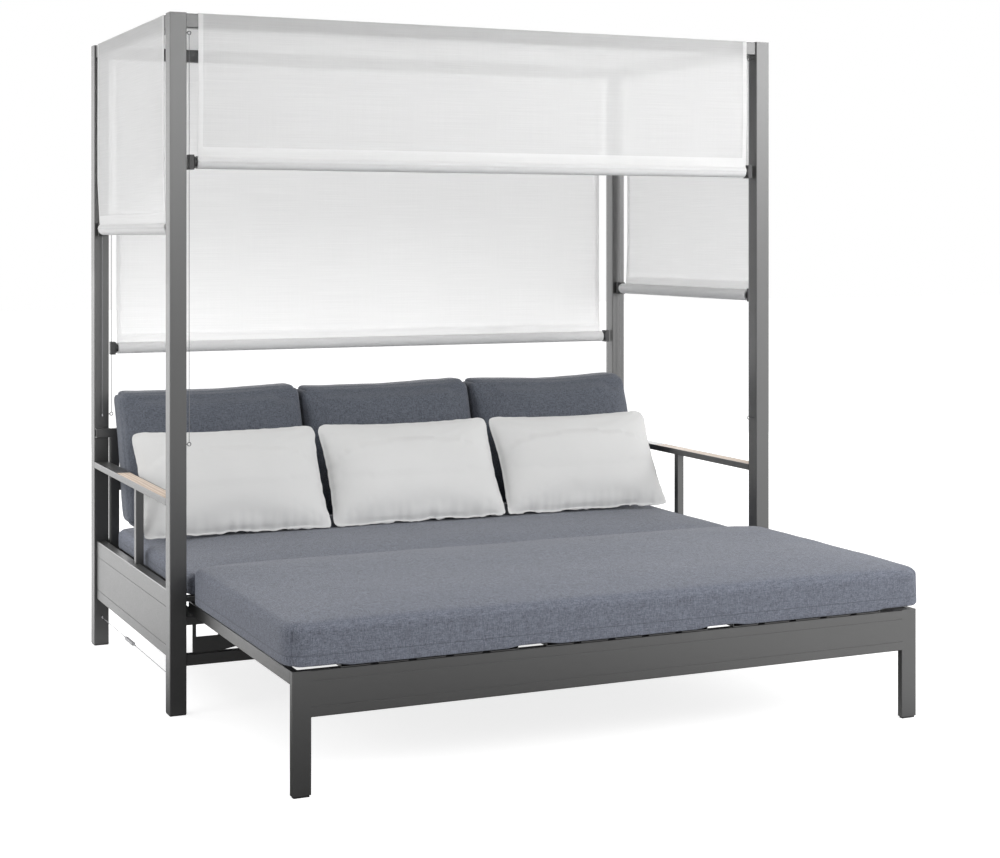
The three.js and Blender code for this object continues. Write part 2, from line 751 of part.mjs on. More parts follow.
// Guide wires, each tied to a screw eye above and one below
const upperEyeZ = height - upperEyeDrop;
const wireX = innerX - wireFromPost;
const wireY = innerY - wireFromPost;
const guideLow = lowerEyeHeight + eyeRadius;
const guideHigh = upperEyeZ - eyeRadius;
function guideWire(toPost, ringAxis) {
  const eye = screwEye(toPost, ringAxis);
  const wire = rod(wireRadius, guideHigh - guideLow, UP);
  return joined([
    at(eye, 0, 0, lowerEyeHeight), at(eye, 0, 0, upperEyeZ),
    at(wire, 0, 0, (guideHigh + guideLow) / 2),
  ]);
}
for (const [place, sx, sy] of corners) {
  const [depthPlace, widthPlace] = place.split('_');
  const acrossWire = guideWire(sx < 0 ? LEFT : RIGHT, BACK);
  const alongWire = guideWire(sy < 0 ? FRONT : BACK, RIGHT);
  piece(`${depthPlace}_guide_wire_${widthPlace}`, acrossWire, steel(), spot(sx * wireX, sy * postY, 0));
  piece(`${widthPlace}_guide_wire_${depthPlace}`, alongWire, steel(), spot(sx * postX, sy * wireY, 0));
}

// Tension wires low on both sides, each with a turnbuckle near the middle
function tensionWire() {
  const body = turnbuckleLength / 2 - 2 * turnbuckleCone;
  const half = turnbuckleLength / 2;
  const profile = [
    [0, -half], [turnbuckleNeck, -half], [turnbuckleNeck, -body - turnbuckleCone],
    [turnbuckleRadius, -body], [turnbuckleRadius, body],
    [turnbuckleNeck, body + turnbuckleCone], [turnbuckleNeck, half], [0, half],
  ].map(([r, y]) => new THREE.Vector2(r, y));
  const turnbuckle = new THREE.LatheGeometry(profile, smallSides);
  return joined([
    at(screwEye(FRONT, RIGHT), 0, -wireY, 0),
    at(screwEye(BACK, RIGHT), 0, wireY, 0),
    rod(wireRadius, 2 * (wireY - eyeRadius), BACK),
    at(turnbuckle, 0, turnbuckleShift, 0),
  ]);
}
const tension = tensionWire();
piece('tension_wire_left', tension, steel(), spot(-postX, 0, tensionHeight));
piece('tension_wire_right', tension, steel(), spot(postX, 0, tensionHeight));

// A blind's roll: cloth round a hollow core that turns on an axle
function roll(clothWidth, along) {
  const half = clothWidth / 2;
  const end = half + hubLength;
  const bore = axleRadius + axleGap;
  const profile = [
    [bore, -end], [hubRadius, -end], [hubRadius, -half], [rollRadius, -half],
    [rollRadius, half], [hubRadius, half], [hubRadius, end], [bore, end], [bore, -end],
  ].map(([r, y]) => new THREE.Vector2(r, y));
  const turn = new THREE.Quaternion().setFromUnitVectors(BACK, along);
  return new THREE.LatheGeometry(profile, roundSides).applyQuaternion(turn);
}

// A blind's carriage: two clamps on the guide wires, with the roll's axle between them
const clampFace = clothCornerGap - hubLength - fit;
function carriage(span, along) {
  const middle = span / 2 - clampFace + clampWidth / 2;
  const blocks = [];
  const holes = [];
  for (const s of [-1, 1]) {
    const block = barZ(clampHeight, clampWidth, clampDepth);
    blocks.push(at(block, s * middle, 0, 0));
    const hole = rod(clampBore, clampHeight + overrun, UP);
    holes.push(at(hole, s * (span / 2 - wireFromPost), 0, 0));
  }
  const axle = rod(axleRadius, 2 * (middle - clampWidth / 2 + weld), RIGHT);
  const shape = joined([...blocks, axle], holes);
  return along === RIGHT ? shape : shape.rotateZ(Math.PI / 2);
}

const blinds = [
  { name: 'front', out: FRONT, along: RIGHT, span: innerWidth, plane: postY, face: clothPlaneY },
  { name: 'left', out: LEFT, along: BACK, span: innerDepth, plane: postX, face: clothPlaneX },
  { name: 'right', out: RIGHT, along: BACK, span: innerDepth, plane: postX, face: clothPlaneX },
  { name: 'back', out: BACK, along: RIGHT, span: innerWidth, plane: postY, face: clothPlaneY },
];
for (const { name, out, along, span, plane, face } of blinds) {
  const clothWidth = span - 2 * clothCornerGap;
  const rollZ = blindHeights[name];
  const drop = beamTop - rollZ;
  const cloth = along === RIGHT
    ? box(clothWidth, clothThickness, drop) : box(clothThickness, clothWidth, drop);
  const clothPlace = out.clone().multiplyScalar(face + clothThickness / 2);
  const rollPlace = out.clone().multiplyScalar(plane).setZ(rollZ);
  piece(`${name}_blind_cloth`, cloth, whiteCloth(), clothPlace.setZ(rollZ + drop / 2));
  piece(`${name}_blind_roll`, roll(clothWidth, along), whiteCloth(), rollPlace);
  piece(`${name}_blind_carriage`, carriage(span, along), blackPlastic(), rollPlace);
}

// The origin is the middle of the whole box, at floor level
const whole = new THREE.Box3().setFromObject(daybed);
daybed.position.y = -(whole.min.y + whole.max.y) / 2;
daybed.updateMatrixWorld(true);

export default daybed;
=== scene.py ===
import math

import bmesh
import bpy
import numpy as np
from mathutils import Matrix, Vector, noise


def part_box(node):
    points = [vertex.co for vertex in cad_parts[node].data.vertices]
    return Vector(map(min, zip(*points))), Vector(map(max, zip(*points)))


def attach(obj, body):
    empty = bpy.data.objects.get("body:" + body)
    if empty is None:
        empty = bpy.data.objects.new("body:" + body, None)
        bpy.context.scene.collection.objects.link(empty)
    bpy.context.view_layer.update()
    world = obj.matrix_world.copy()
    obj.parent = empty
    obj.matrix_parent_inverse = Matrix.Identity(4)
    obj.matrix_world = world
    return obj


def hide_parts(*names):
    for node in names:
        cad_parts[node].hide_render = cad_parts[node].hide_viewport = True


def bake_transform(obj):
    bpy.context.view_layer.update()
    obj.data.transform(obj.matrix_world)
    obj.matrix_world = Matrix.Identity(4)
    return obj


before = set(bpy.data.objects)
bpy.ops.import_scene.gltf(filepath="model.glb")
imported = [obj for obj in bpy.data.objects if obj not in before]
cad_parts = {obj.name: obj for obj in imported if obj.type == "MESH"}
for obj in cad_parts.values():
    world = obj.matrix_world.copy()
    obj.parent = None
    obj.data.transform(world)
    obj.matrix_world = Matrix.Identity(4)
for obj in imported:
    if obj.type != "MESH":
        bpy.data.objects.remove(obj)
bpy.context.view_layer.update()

bl_info = {
    "name": "Canopy Daybed",
    "version": (1, 0, 0),
    "blender": (4, 5, 0),
    "location": "3D View > Sidebar > Daybed",
    "description": "Dresses the packed daybed frame in coat, wood, steel, cloth and cushions",
    "category": "Object",
}

SIDES = ("front", "left", "right", "back")
PLACES = ("left", "middle", "right")
WHITE = (1, 1, 1, 1)
BLACK = (0, 0, 0, 1)

# The slats of the pull-out, as they stand in the frame
SLAT_GROUPS = 3
SLAT_MARGIN = 0.127
SLAT_GROUP_GAP = 0.082

# Way across which a hem's second layer of cloth begins
HEM_STEP = 0.0008

# Slope of the pillows as they lean
PILLOW_TILT = math.radians(58)

# Frames that the cushions swell for
SWELL_FRAMES = 20

# The camera, as it was worked out from the photograph
CAMERA_PLACE = (-2.3695, -5.34185, 1.3922)
CAMERA_HEADING = -24.508
CAMERA_LENS = 66.23
CAMERA_SHIFT = -0.1912

# Middle of a painted shadow on the floor under the bed, which only the coat's reflections see, and
# where it fades out
PAINTED_FLOOR_SHADOW = (-0.5, -0.9, 0)
PAINTED_FLOOR_SHADOW_REACH = (0.8, 1.7)

COATED = (
    *(f"post_{end}_{side}" for end in ("front", "back") for side in ("left", "right")),
    *(f"roof_beam_{side}" for side in SIDES),
    "side_panel_left", "side_panel_right", "back_panel",
    "front_stretcher", "slide_frame", "arm_left", "arm_right",
    "backrest_frame", "deck", "pullout_front", "pullout_bed",
)
PLASTIC = (
    *(f"post_foot_{end}_{side}" for end in ("front", "back") for side in ("left", "right")),
    "pullout_foot_left", "pullout_foot_right",
    *(f"{side}_blind_carriage" for side in SIDES),
)
RUBBER = ("closing_buffer_left", "closing_buffer_right")
WIRES = (
    *(f"{face}_guide_wire_{side}" for face in ("front", "back") for side in ("left", "right")),
    *(f"{face}_guide_wire_{end}" for face in ("left", "right") for end in ("front", "back")),
)
TENSION_WIRES = ("tension_wire_left", "tension_wire_right")


# Settings

class FrameSettings(bpy.types.PropertyGroup):
    """Finishes of the metal frame and its small parts"""

    coat: bpy.props.FloatVectorProperty(
        name="Coat", description="Colour of the powder coat", subtype="COLOR",
        size=4, min=0, max=1, default=(0.017, 0.017, 0.0168, 1))
    coat_roughness: bpy.props.FloatProperty(
        name="Coat roughness", description="Roughness of the powder coat",
        min=0, max=1, default=0.38)
    wood: bpy.props.FloatVectorProperty(
        name="Wood", description="Light colour of the wood on the arms", subtype="COLOR",
        size=4, min=0, max=1, default=(0.7, 0.59, 0.5, 1))
    wood_round: bpy.props.FloatProperty(
        name="Wood rounding", description="Radius of the wood's long edges",
        unit="LENGTH", default=0.0016)


class ClothSettings(bpy.types.PropertyGroup):
    """Roof cloth and roll-up blinds"""

    cloth: bpy.props.FloatVectorProperty(
        name="Cloth", description="Colour of the canopy cloth", subtype="COLOR",
        size=4, min=0, max=1, default=(0.95, 0.95, 0.945, 1))
    cover: bpy.props.FloatProperty(
        name="Cover", description="Share of the light that the cloth stops",
        min=0, max=1, default=0.62)
    thickness: bpy.props.FloatProperty(
        name="Thickness", description="Thickness of one layer of cloth",
        unit="LENGTH", default=0.0006)
    hem: bpy.props.FloatProperty(
        name="Hem", description="Width of the sewn hems", unit="LENGTH", default=0.014)
    roll_hem: bpy.props.FloatProperty(
        name="Roll hem", description="Width of the hem over a blind's roll",
        unit="LENGTH", default=0.045)
    roof_sag: bpy.props.FloatProperty(
        name="Roof sag", description="Sag of the roof cloth at its middle",
        unit="LENGTH", default=0.008)
    ripple: bpy.props.FloatProperty(
        name="Ripple", description="Height of the ripples in the hanging cloth",
        unit="LENGTH", default=0.0018)


class CushionSettings(bpy.types.PropertyGroup):
    """Seat cushions, back cushions and pillows"""

    seat: bpy.props.FloatVectorProperty(
        name="Seat fabric", description="Middle colour of the seat fabric", subtype="COLOR",
        size=4, min=0, max=1, default=(0.131, 0.142, 0.174, 1))
    # The back fabric is the seat fabric made darker: painted shade of the canopy over the back
    # cushions.
    back: bpy.props.FloatVectorProperty(
        name="Back fabric", description="Middle colour of the back fabric", subtype="COLOR",
        size=4, min=0, max=1, default=(0.09, 0.099, 0.12, 1))
    pillow: bpy.props.FloatVectorProperty(
        name="Pillow fabric", description="Colour of the pillow fabric", subtype="COLOR",
        size=4, min=0, max=1, default=(0.65, 0.65, 0.645, 1))
    pressure: bpy.props.FloatProperty(
        name="Pressure", description="Pressure that swells the cushions", default=4)
    seat_cap: bpy.props.FloatProperty(
        name="Seat swell", description="Most that a seat cushion swells",
        unit="LENGTH", default=0.009)
    back_cap: bpy.props.FloatProperty(
        name="Back swell", description="Most that a back cushion swells",
        unit="LENGTH", default=0.022)
    pillow_cap: bpy.props.FloatProperty(
        name="Pillow swell", description="Most that a pillow swells",
        unit="LENGTH", default=0.016)


class StageSettings(bpy.types.PropertyGroup):
    """Floor, light and camera"""

    sky: bpy.props.FloatProperty(
        name="Sky", description="Strength of the even light", min=0, default=0.68)
    key_lamp: bpy.props.FloatProperty(
        name="Key lamp", description="Power of the lamp high on the right in front", min=0,
        default=148)
    fill_lamp: bpy.props.FloatProperty(
        name="Fill lamp", description="Power of the lamp low on the right in front", min=0,
        default=44)
    left_lamp: bpy.props.FloatProperty(
        name="Left lamp", description="Power of the lamp on the left", min=0, default=112)
    rim_lamp: bpy.props.FloatProperty(
        name="Rim lamp", description="Power of the lamp behind on the left", min=0, default=30)
    floor_lamp: bpy.props.FloatProperty(
        name="Floor lamp", description="Power of the lamp over the floor behind on the left",
        min=0, default=45)
    wall_lamp: bpy.props.FloatProperty(
        name="Wall lamp", description="Power of the light that the wall behind gives back",
        min=0, default=180)
    right_lamp: bpy.props.FloatProperty(
        name="Right lamp", description="Power of the lamp on the right", min=0, default=60)
    floor_bounce: bpy.props.FloatProperty(
        name="Floor bounce", description="Grey that the floor throws back", min=0, max=1,
        default=0.42)
    floor_shade: bpy.props.FloatProperty(
        name="Floor shade", description="Share of the floor's white that shadows take away",
        min=0, max=1, default=0.5)


# Node trees

def put(tree, kind, inputs=None, **settings):
    """Adds a node, sets it up, and links or fills its inputs."""
    made = tree.nodes.new(kind)
    for key, value in settings.items():
        setattr(made, key, value)
    for key, value in (inputs or {}).items():
        if isinstance(value, bpy.types.NodeSocket):
            tree.links.new(value, made.inputs[key])
        else:
            made.inputs[key].default_value = value
    return made


def calc(tree, operation, *values):
    """Output of a Math node."""
    return put(tree, "ShaderNodeMath", dict(enumerate(values)), operation=operation).outputs[0]


def spread(tree, value, low, high, to_low=0.0, to_high=1.0):
    """Output of a Map Range node."""
    return put(tree, "ShaderNodeMapRange", {
        "Value": value, "From Min": low, "From Max": high,
        "To Min": to_low, "To Max": to_high}).outputs[0]


def mixed(tree, factor, first, second, blend_type="MIX"):
    """Output of a colour Mix node."""
    return put(tree, "ShaderNodeMix", {0: factor, 6: first, 7: second},
               data_type="RGBA", blend_type=blend_type).outputs[2]


def mapped(tree, vector, scale=(1, 1, 1), rotation=(0, 0, 0)):
    """Output of a Mapping node."""
    return put(tree, "ShaderNodeMapping", {
        "Vector": vector, "Rotation": rotation, "Scale": scale}).outputs[0]


def even_grey(value):
    """A grey whose three parts are the value."""
    return (value, value, value, 1)


def tinted(colour, *shares):
    """A colour whose parts are multiplied by one share, or each by its own."""
    return tuple(part * share for part, share in zip(colour[:3], shares * 3)) + (1,)


def clouds(tree, vector, scale, detail=2.0, roughness=0.5):
    """Value output of a Noise Texture node."""
    return put(tree, "ShaderNodeTexNoise", {
        "Vector": vector, "Scale": scale, "Detail": detail, "Roughness": roughness}).outputs[0]


def effect(name, inputs, outputs, draw):
    """A shader node group, built once: draw(tree, entry) returns one socket for each output."""
    if name in bpy.data.node_groups:
        return bpy.data.node_groups[name]
    tree = bpy.data.node_groups.new(name, "ShaderNodeTree")
    for label, kind, default in inputs:
        socket = tree.interface.new_socket(label, in_out="INPUT", socket_type=kind)
        if default is not None:
            socket.default_value = default
    for label, kind in outputs:
        tree.interface.new_socket(label, in_out="OUTPUT", socket_type=kind)
    entry = tree.nodes.new("NodeGroupInput")
    leaving = tree.nodes.new("NodeGroupOutput")
    for index, value in enumerate(draw(tree, entry.outputs)):
        tree.links.new(value, leaving.inputs[index])
    return tree


def use(tree, group, inputs):
    """Places a node group in a tree, and gives its outputs."""
    return put(tree, "ShaderNodeGroup", inputs, node_tree=group).outputs


def finish_of(name, draw, **constants):
    """A material whose tree is drawn by draw(tree), which returns the sockets for the shader."""
    if name in bpy.data.materials:
        return bpy.data.materials[name]
    material = bpy.data.materials.new(name)
    material.use_nodes = True
    tree = material.node_tree
    shader = tree.nodes["Principled BSDF"]
    for key, value in constants.items():
        shader.inputs[key.replace("_", " ")].default_value = value
    for key, value in draw(tree).items():
        tree.links.new(value, shader.inputs[key])
    return material


def bumped(tree, height, distance, strength):
    """Normal output of a Bump node."""
    return put(tree, "ShaderNodeBump", {
        "Height": height, "Distance": distance, "Strength": strength}).outputs[0]


def seen_as_white(tree, path):
    """1 for the rays that see the white around the bed: from the camera, in mirrors and through
    what is clear."""
    return calc(tree, "MAXIMUM", path["Is Camera Ray"], calc(
        tree, "MAXIMUM", path["Is Glossy Ray"], path["Is Transmission Ray"]))


def object_space(tree):
    """Object coordinates."""
    return put(tree, "ShaderNodeTexCoord").outputs["Object"]


def cloth_space(tree):
    """The cloth's own coordinates, in metres."""
    return put(tree, "ShaderNodeUVMap", uv_map="cloth").outputs[0]


# Effects that more than one finish uses

def uneven():
    """Soft clouds that lighten and darken a colour."""
    def draw(tree, entry):
        cloud = clouds(tree, entry["Vector"], 5.0, 3.0)
        factor = spread(tree, cloud, 0.3, 0.7, -1.0, 1.0)
        gain = calc(tree, "MULTIPLY_ADD", factor, entry["Amount"], 1.0)
        tint = put(tree, "ShaderNodeCombineColor", {0: gain, 1: gain, 2: gain}).outputs[0]
        return [mixed(tree, 1.0, entry["Colour"], tint, "MULTIPLY")]
    return effect(
        "Uneven colour",
        [("Vector", "NodeSocketVector", None), ("Colour", "NodeSocketColor", WHITE),
         ("Amount", "NodeSocketFloat", 0.04)],
        [("Colour", "NodeSocketColor")], draw)


def peel():
    """The fine orange peel of a sprayed or moulded skin."""
    def draw(tree, entry):
        fine = clouds(tree, entry["Vector"], 1300.0, 2.0)
        broad = clouds(tree, entry["Vector"], 260.0, 2.0)
        height = calc(tree, "MULTIPLY_ADD", broad, 0.6, fine)
        change = calc(tree, "SUBTRACT", broad, 0.5)
        rough = calc(tree, "MULTIPLY_ADD", change, 0.16, entry["Roughness"])
        return [height, rough]
    return effect(
        "Orange peel",
        [("Vector", "NodeSocketVector", None), ("Roughness", "NodeSocketFloat", 0.4)],
        [("Height", "NodeSocketFloat"), ("Roughness", "NodeSocketFloat")], draw)


def heather():
    """Yarns of mixed shades, running along all three axes."""
    def draw(tree, entry):
        total = None
        for axis in range(3):
            for across, along in ((850.0, 110.0), (380.0, 60.0)):
                scale = [across] * 3
                scale[axis] = along
                streak = clouds(tree, mapped(tree, entry["Vector"], scale), 1.0, 2.0, 0.6)
                total = streak if total is None else calc(tree, "ADD", total, streak)
        yarn = spread(tree, total, 2.6, 3.4)
        patch = clouds(tree, entry["Vector"], 60.0, 2.0, 0.6)
        shade = calc(tree, "ADD", yarn, spread(tree, patch, 0.3, 0.7, -0.06, 0.06))
        colour = mixed(tree, shade, entry["Dark"], entry["Light"])
        return [colour, yarn]
    return effect(
        "Heathered yarn",
        [("Vector", "NodeSocketVector", None), ("Dark", "NodeSocketColor", BLACK),
         ("Light", "NodeSocketColor", WHITE)],
        [("Colour", "NodeSocketColor"), ("Height", "NodeSocketFloat")], draw)


def threads():
    """Threads of a plain weave that cross on any face that looks along an axis."""
    def draw(tree, entry):
        parts = put(tree, "ShaderNodeSeparateXYZ", {0: entry["Vector"]}).outputs
        total = None
        for part in parts:
            wave = calc(tree, "SINE", calc(tree, "MULTIPLY", part, entry["Threads"]))
            total = wave if total is None else calc(tree, "ADD", total, wave)
        return [spread(tree, total, -2.0, 2.0)]
    return effect(
        "Plain weave",
        [("Vector", "NodeSocketVector", None), ("Threads", "NodeSocketFloat", 3500.0)],
        [("Height", "NodeSocketFloat")], draw)


# Finishes

def sprayed_finish(name, colour, roughness, patchy, depth, strength, **constants):
    """A plain skin with orange peel. patchy is how much its colour changes from place to place,
    and depth and strength are those of the peel's bumps."""
    def draw(tree):
        place = object_space(tree)
        skin = use(tree, peel(), {"Vector": place, "Roughness": roughness})
        tone = use(tree, uneven(), {"Vector": place, "Colour": colour, "Amount": patchy})
        return {
            "Base Color": tone[0],
            "Roughness": skin["Roughness"],
            "Normal": bumped(tree, skin["Height"], depth, strength),
        }
    return finish_of(name, draw, **constants)


def coat_finish():
    settings = bpy.context.scene.daybed_frame
    return sprayed_finish(
        "Powder coat", settings.coat, settings.coat_roughness,
        patchy=0.03, depth=0.00012, strength=0.5, Specular_IOR_Level=1.0, IOR=1.55)


def plastic_finish():
    return sprayed_finish(
        "Moulded plastic", (0.022, 0.022, 0.023, 1), 0.45,
        patchy=0.15, depth=0.0001, strength=0.5)


def rubber_finish():
    return sprayed_finish(
        "Moulded rubber", even_grey(0.016), 0.72, patchy=0.25, depth=0.00025, strength=0.7)


def steel_finish(name, strand_way):
    """Stranded or turned steel: strand_way tilts the lines that run round it."""
    def draw(tree):
        place = object_space(tree)
        lay = put(tree, "ShaderNodeTexWave", {
            "Vector": mapped(tree, place, rotation=strand_way), "Scale": 130.0,
            "Distortion": 0.4}, bands_direction="Z").outputs["Fac"]
        cloud = clouds(tree, place, 90.0, 3.0)
        return {
            "Base Color": mixed(tree, cloud, (0.13, 0.13, 0.135, 1), (0.24, 0.24, 0.25, 1)),
            "Roughness": spread(tree, cloud, 0.3, 0.7, 0.32, 0.45),
            "Normal": bumped(tree, lay, 0.0001, 0.3),
        }
    return finish_of(name, draw, Metallic=1.0)


def wood_finish():
    settings = bpy.context.scene.daybed_frame

    def draw(tree):
        place = object_space(tree)
        dark = tinted(settings.wood, 0.62, 0.55, 0.47)
        bend = clouds(tree, mapped(tree, place, (18, 1.6, 18)), 1.0, 3.0)
        across = put(tree, "ShaderNodeSeparateXYZ", {0: place}).outputs["X"]
        figure = calc(tree, "MULTIPLY_ADD", bend, 9.0, calc(tree, "MULTIPLY", across, 260.0))
        rings = calc(tree, "ABSOLUTE", calc(tree, "SINE", figure))
        pores = clouds(tree, mapped(tree, place, (1500, 45, 1500)), 1.0, 2.0, 0.7)
        pore = spread(tree, pores, 0.58, 0.75)
        colour = mixed(tree, spread(tree, rings, 0.0, 1.0, 0.0, 0.75), settings.wood, dark)
        colour = mixed(tree, calc(tree, "MULTIPLY", pore, 0.45), colour, (0.2, 0.12, 0.07, 1))
        height = calc(tree, "MULTIPLY_ADD", rings, -0.4, calc(tree, "MULTIPLY", pore, -1.0))
        return {
            "Base Color": use(tree, uneven(), {
                "Vector": place, "Colour": colour, "Amount": 0.07})[0],
            "Roughness": spread(tree, pores, 0.3, 0.7, 0.5, 0.66),
            "Normal": bumped(tree, height, 0.0003, 0.6),
        }
    return finish_of("Light wood", draw)


def cloth_finish(wound=False):
    """The see-through canopy cloth, or the same cloth wound to a roll that lets no light past."""
    settings = bpy.context.scene.daybed_cloth

    def draw(tree):
        place = cloth_space(tree)
        weave = use(tree, threads(), {"Vector": place, "Threads": 5200.0})[0]
        slub = clouds(tree, mapped(tree, place, (4, 640, 1)), 1.0, 2.0, 0.6)
        warp = clouds(tree, mapped(tree, place, (420, 5, 1)), 1.0, 2.0)
        lines = calc(tree, "MULTIPLY_ADD", slub, 0.8, calc(tree, "MULTIPLY", warp, 0.2))
        hem = put(tree, "ShaderNodeAttribute", attribute_name="hem").outputs["Fac"]
        dense = calc(tree, "MULTIPLY_ADD", hem, 0.22, spread(tree, lines, 0.35, 0.65, -0.02, 0.02))
        shade = tinted(settings.cloth, 0.975, 0.975, 0.978)
        plain = mixed(tree, spread(tree, lines, 0.35, 0.65), shade, settings.cloth)
        parts = {
            "Base Color": mixed(tree, calc(tree, "MULTIPLY", hem, 0.5), plain, even_grey(0.8)),
            "Roughness": spread(tree, weave, 0.0, 1.0, 0.85, 0.7),
            "Normal": bumped(tree, calc(tree, "ADD", weave, lines), 0.0002, 0.5),
        }
        if not wound:
            parts["Alpha"] = calc(tree, "ADD", dense, settings.cover)
        return parts

    name = "Wound cloth" if wound else "Canopy cloth"
    return finish_of(name, draw, Specular_IOR_Level=0.3, Subsurface_Weight=1.0,
                     Subsurface_Radius=(1, 1, 1), Subsurface_Scale=0.004)


def fabric_finish(name, middle, tilt=0.0, seam=-1.0):
    """Heathered woven fabric. The yarns lie flat on a face that is tilted by tilt, and a seam runs
    round the cushion at the height seam, as a groove with painted shade darkening its colour."""
    def draw(tree):
        place = mapped(tree, object_space(tree), rotation=(tilt, 0, 0))
        yarn = use(tree, heather(), {
            "Vector": place,
            "Dark": tinted(middle, 0.62),
            "Light": tinted(middle, 1.42),
        })
        weave = use(tree, threads(), {"Vector": place, "Threads": 4200.0})[0]
        height = calc(tree, "MULTIPLY_ADD", weave, 0.6, yarn["Height"])
        level = put(tree, "ShaderNodeSeparateXYZ", {0: object_space(tree)}).outputs["Z"]
        off_seam = calc(tree, "ABSOLUTE", calc(tree, "SUBTRACT", level, seam))
        # Along the seam the bumps sink into a groove, and the colour darkens towards a darker copy
        # of the fabric as painted shade.
        seam_fold_and_painted_shade = spread(tree, off_seam, 0.0, 0.0022, 1.0, 0.0)
        height = calc(tree, "MULTIPLY_ADD", seam_fold_and_painted_shade, -3.0, height)
        return {
            "Base Color": mixed(
                tree, calc(tree, "MULTIPLY", seam_fold_and_painted_shade, 0.45), yarn["Colour"], tinted(middle, 0.45)),
            "Roughness": spread(tree, yarn["Height"], 0.0, 1.0, 0.95, 0.82),
            "Normal": bumped(tree, height, 0.0004, 0.6),
        }
    return finish_of(name, draw, Sheen_Weight=0.12, Sheen_Roughness=0.5, Specular_IOR_Level=0.25)


def pillow_finish():
    """Pale plain weave that lies flat on the pillows' slope."""
    settings = bpy.context.scene.daybed_cushions

    def draw(tree):
        place = mapped(tree, object_space(tree), rotation=(-PILLOW_TILT, 0, 0))
        weave = use(tree, threads(), {"Vector": place, "Threads": 4600.0})[0]
        slub = clouds(tree, mapped(tree, place, (30, 700, 700)), 1.0, 2.0)
        colour = mixed(tree, spread(tree, slub, 0.35, 0.65, 0.0, 0.1), settings.pillow,
                       (0.55, 0.55, 0.54, 1))
        return {
            "Base Color": use(tree, uneven(), {
                "Vector": place, "Colour": colour, "Amount": 0.02})[0],
            "Roughness": spread(tree, slub, 0.3, 0.7, 0.92, 0.8),
            "Normal": bumped(tree, calc(tree, "ADD", weave, slub), 0.0003, 0.5),
        }
    return finish_of("Pillow fabric", draw, Sheen_Weight=0.1, Specular_IOR_Level=0.25)


# Objects

def dress(piece, material):
    """Gives a piece one material on all its faces."""
    piece.data.materials.clear()
    piece.data.materials.append(material)


def dress_nodes(names, material):
    """Gives several nodes of the frame one material."""
    for name in names:
        dress(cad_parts[name], material)


def clear_selection():
    """Leaves edit mode and deselects everything."""
    if bpy.context.object and bpy.context.object.mode != "OBJECT":
        bpy.ops.object.mode_set(mode="OBJECT")
    bpy.ops.object.select_all(action="DESELECT")


def pick(piece):
    """Selects one piece alone and makes it active."""
    clear_selection()
    piece.select_set(True)
    bpy.context.view_layer.objects.active = piece


def mesh_object(name, points, faces, uvs=None):
    """A new object from points and faces, with one uv pair for each point if given."""
    mesh = bpy.data.meshes.new(name)
    mesh.from_pydata(points, [], faces)
    if uvs is not None:
        layer = mesh.uv_layers.new(name="cloth")
        for loop in mesh.loops:
            layer.data[loop.index].uv = uvs[loop.vertex_index]
    mesh.validate()
    mesh.update()
    made = bpy.data.objects.new(name, mesh)
    bpy.context.scene.collection.objects.link(made)
    return made


def smooth(piece, angle=35):
    """Shades a piece smooth, apart from edges sharper than the angle in degrees."""
    pick(piece)
    bpy.ops.object.shade_smooth_by_angle(angle=math.radians(angle))


def apply_modifiers(piece):
    """Applies all modifiers of a piece, from the first to the last."""
    pick(piece)
    for modifier in list(piece.modifiers):
        bpy.ops.object.modifier_apply(modifier=modifier.name)


def steps(low, high, count):
    """Evenly spaced values from low to high."""
    return [low + (high - low) * index / count for index in range(count + 1)]


def square(a, b):
    """The corners of a cell of a grid, in order."""
    return (a, b), (a + 1, b), (a + 1, b + 1), (a, b + 1)


def share_of(value, whole):
    """How much of a whole a value is, between 0 and 1."""
    return min(1, max(0, value / whole))


def wavy(x, y, z):
    """A smooth random value for a place, between about -1 and 1."""
    return noise.noise(Vector((x, y, z)))


def panel_of_cloth(name, us, vs, place, hemmed, keep=lambda u, v: True):
    """A closed sheet over the grid us by vs. place(u, v, face) gives a point of its outer face
    for face 1 and of its inner face for face -1. hemmed tells where the cloth is doubled, and
    keep tells which cells it covers."""
    points = []
    uvs = []
    hems = []
    index = {}
    for face in (1, -1):
        for i, u in enumerate(us):
            for j, v in enumerate(vs):
                index[face, i, j] = len(points)
                points.append(place(u, v, face))
                uvs.append((u, v))
                hems.append(1.0 if hemmed(u, v) else 0.0)
    cells = {
        (i, j) for i in range(len(us) - 1) for j in range(len(vs) - 1)
        if keep((us[i] + us[i + 1]) / 2, (vs[j] + vs[j + 1]) / 2)}
    faces = []
    for i, j in cells:
        ring = square(i, j)
        faces.append([index[1, a, b] for a, b in ring])
        faces.append([index[-1, a, b] for a, b in reversed(ring)])
        for k, beside in enumerate(((i, j - 1), (i + 1, j), (i, j + 1), (i - 1, j))):
            if beside not in cells:
                (a, b), (c, d) = ring[k], ring[(k + 1) % 4]
                faces.append([index[1, c, d], index[1, a, b], index[-1, a, b], index[-1, c, d]])
    made = mesh_object(name, points, faces, uvs)
    layer = made.data.attributes.new("hem", "FLOAT", "POINT")
    layer.data.foreach_set("value", hems)
    loose = bmesh.new()
    loose.from_mesh(made.data)
    bmesh.ops.delete(loose, geom=[v for v in loose.verts if not v.link_faces], context="VERTS")
    bmesh.ops.recalc_face_normals(loose, faces=loose.faces)
    loose.to_mesh(made.data)
    loose.free()
    return made


# Blinds

def blind_frame(side):
    """Middle of the cloth's top edge, and its directions across and outwards."""
    low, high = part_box(f"{side}_blind_cloth")
    middle = (low + high) / 2
    out = {
        "front": Vector((0, -1, 0)), "back": Vector((0, 1, 0)),
        "left": Vector((-1, 0, 0)), "right": Vector((1, 0, 0)),
    }[side]
    across = Vector((0, 0, 1)).cross(out)
    width = abs((high - low).dot(across))
    return Vector((middle.x, middle.y, high.z)), across, out, width, high.z - low.z


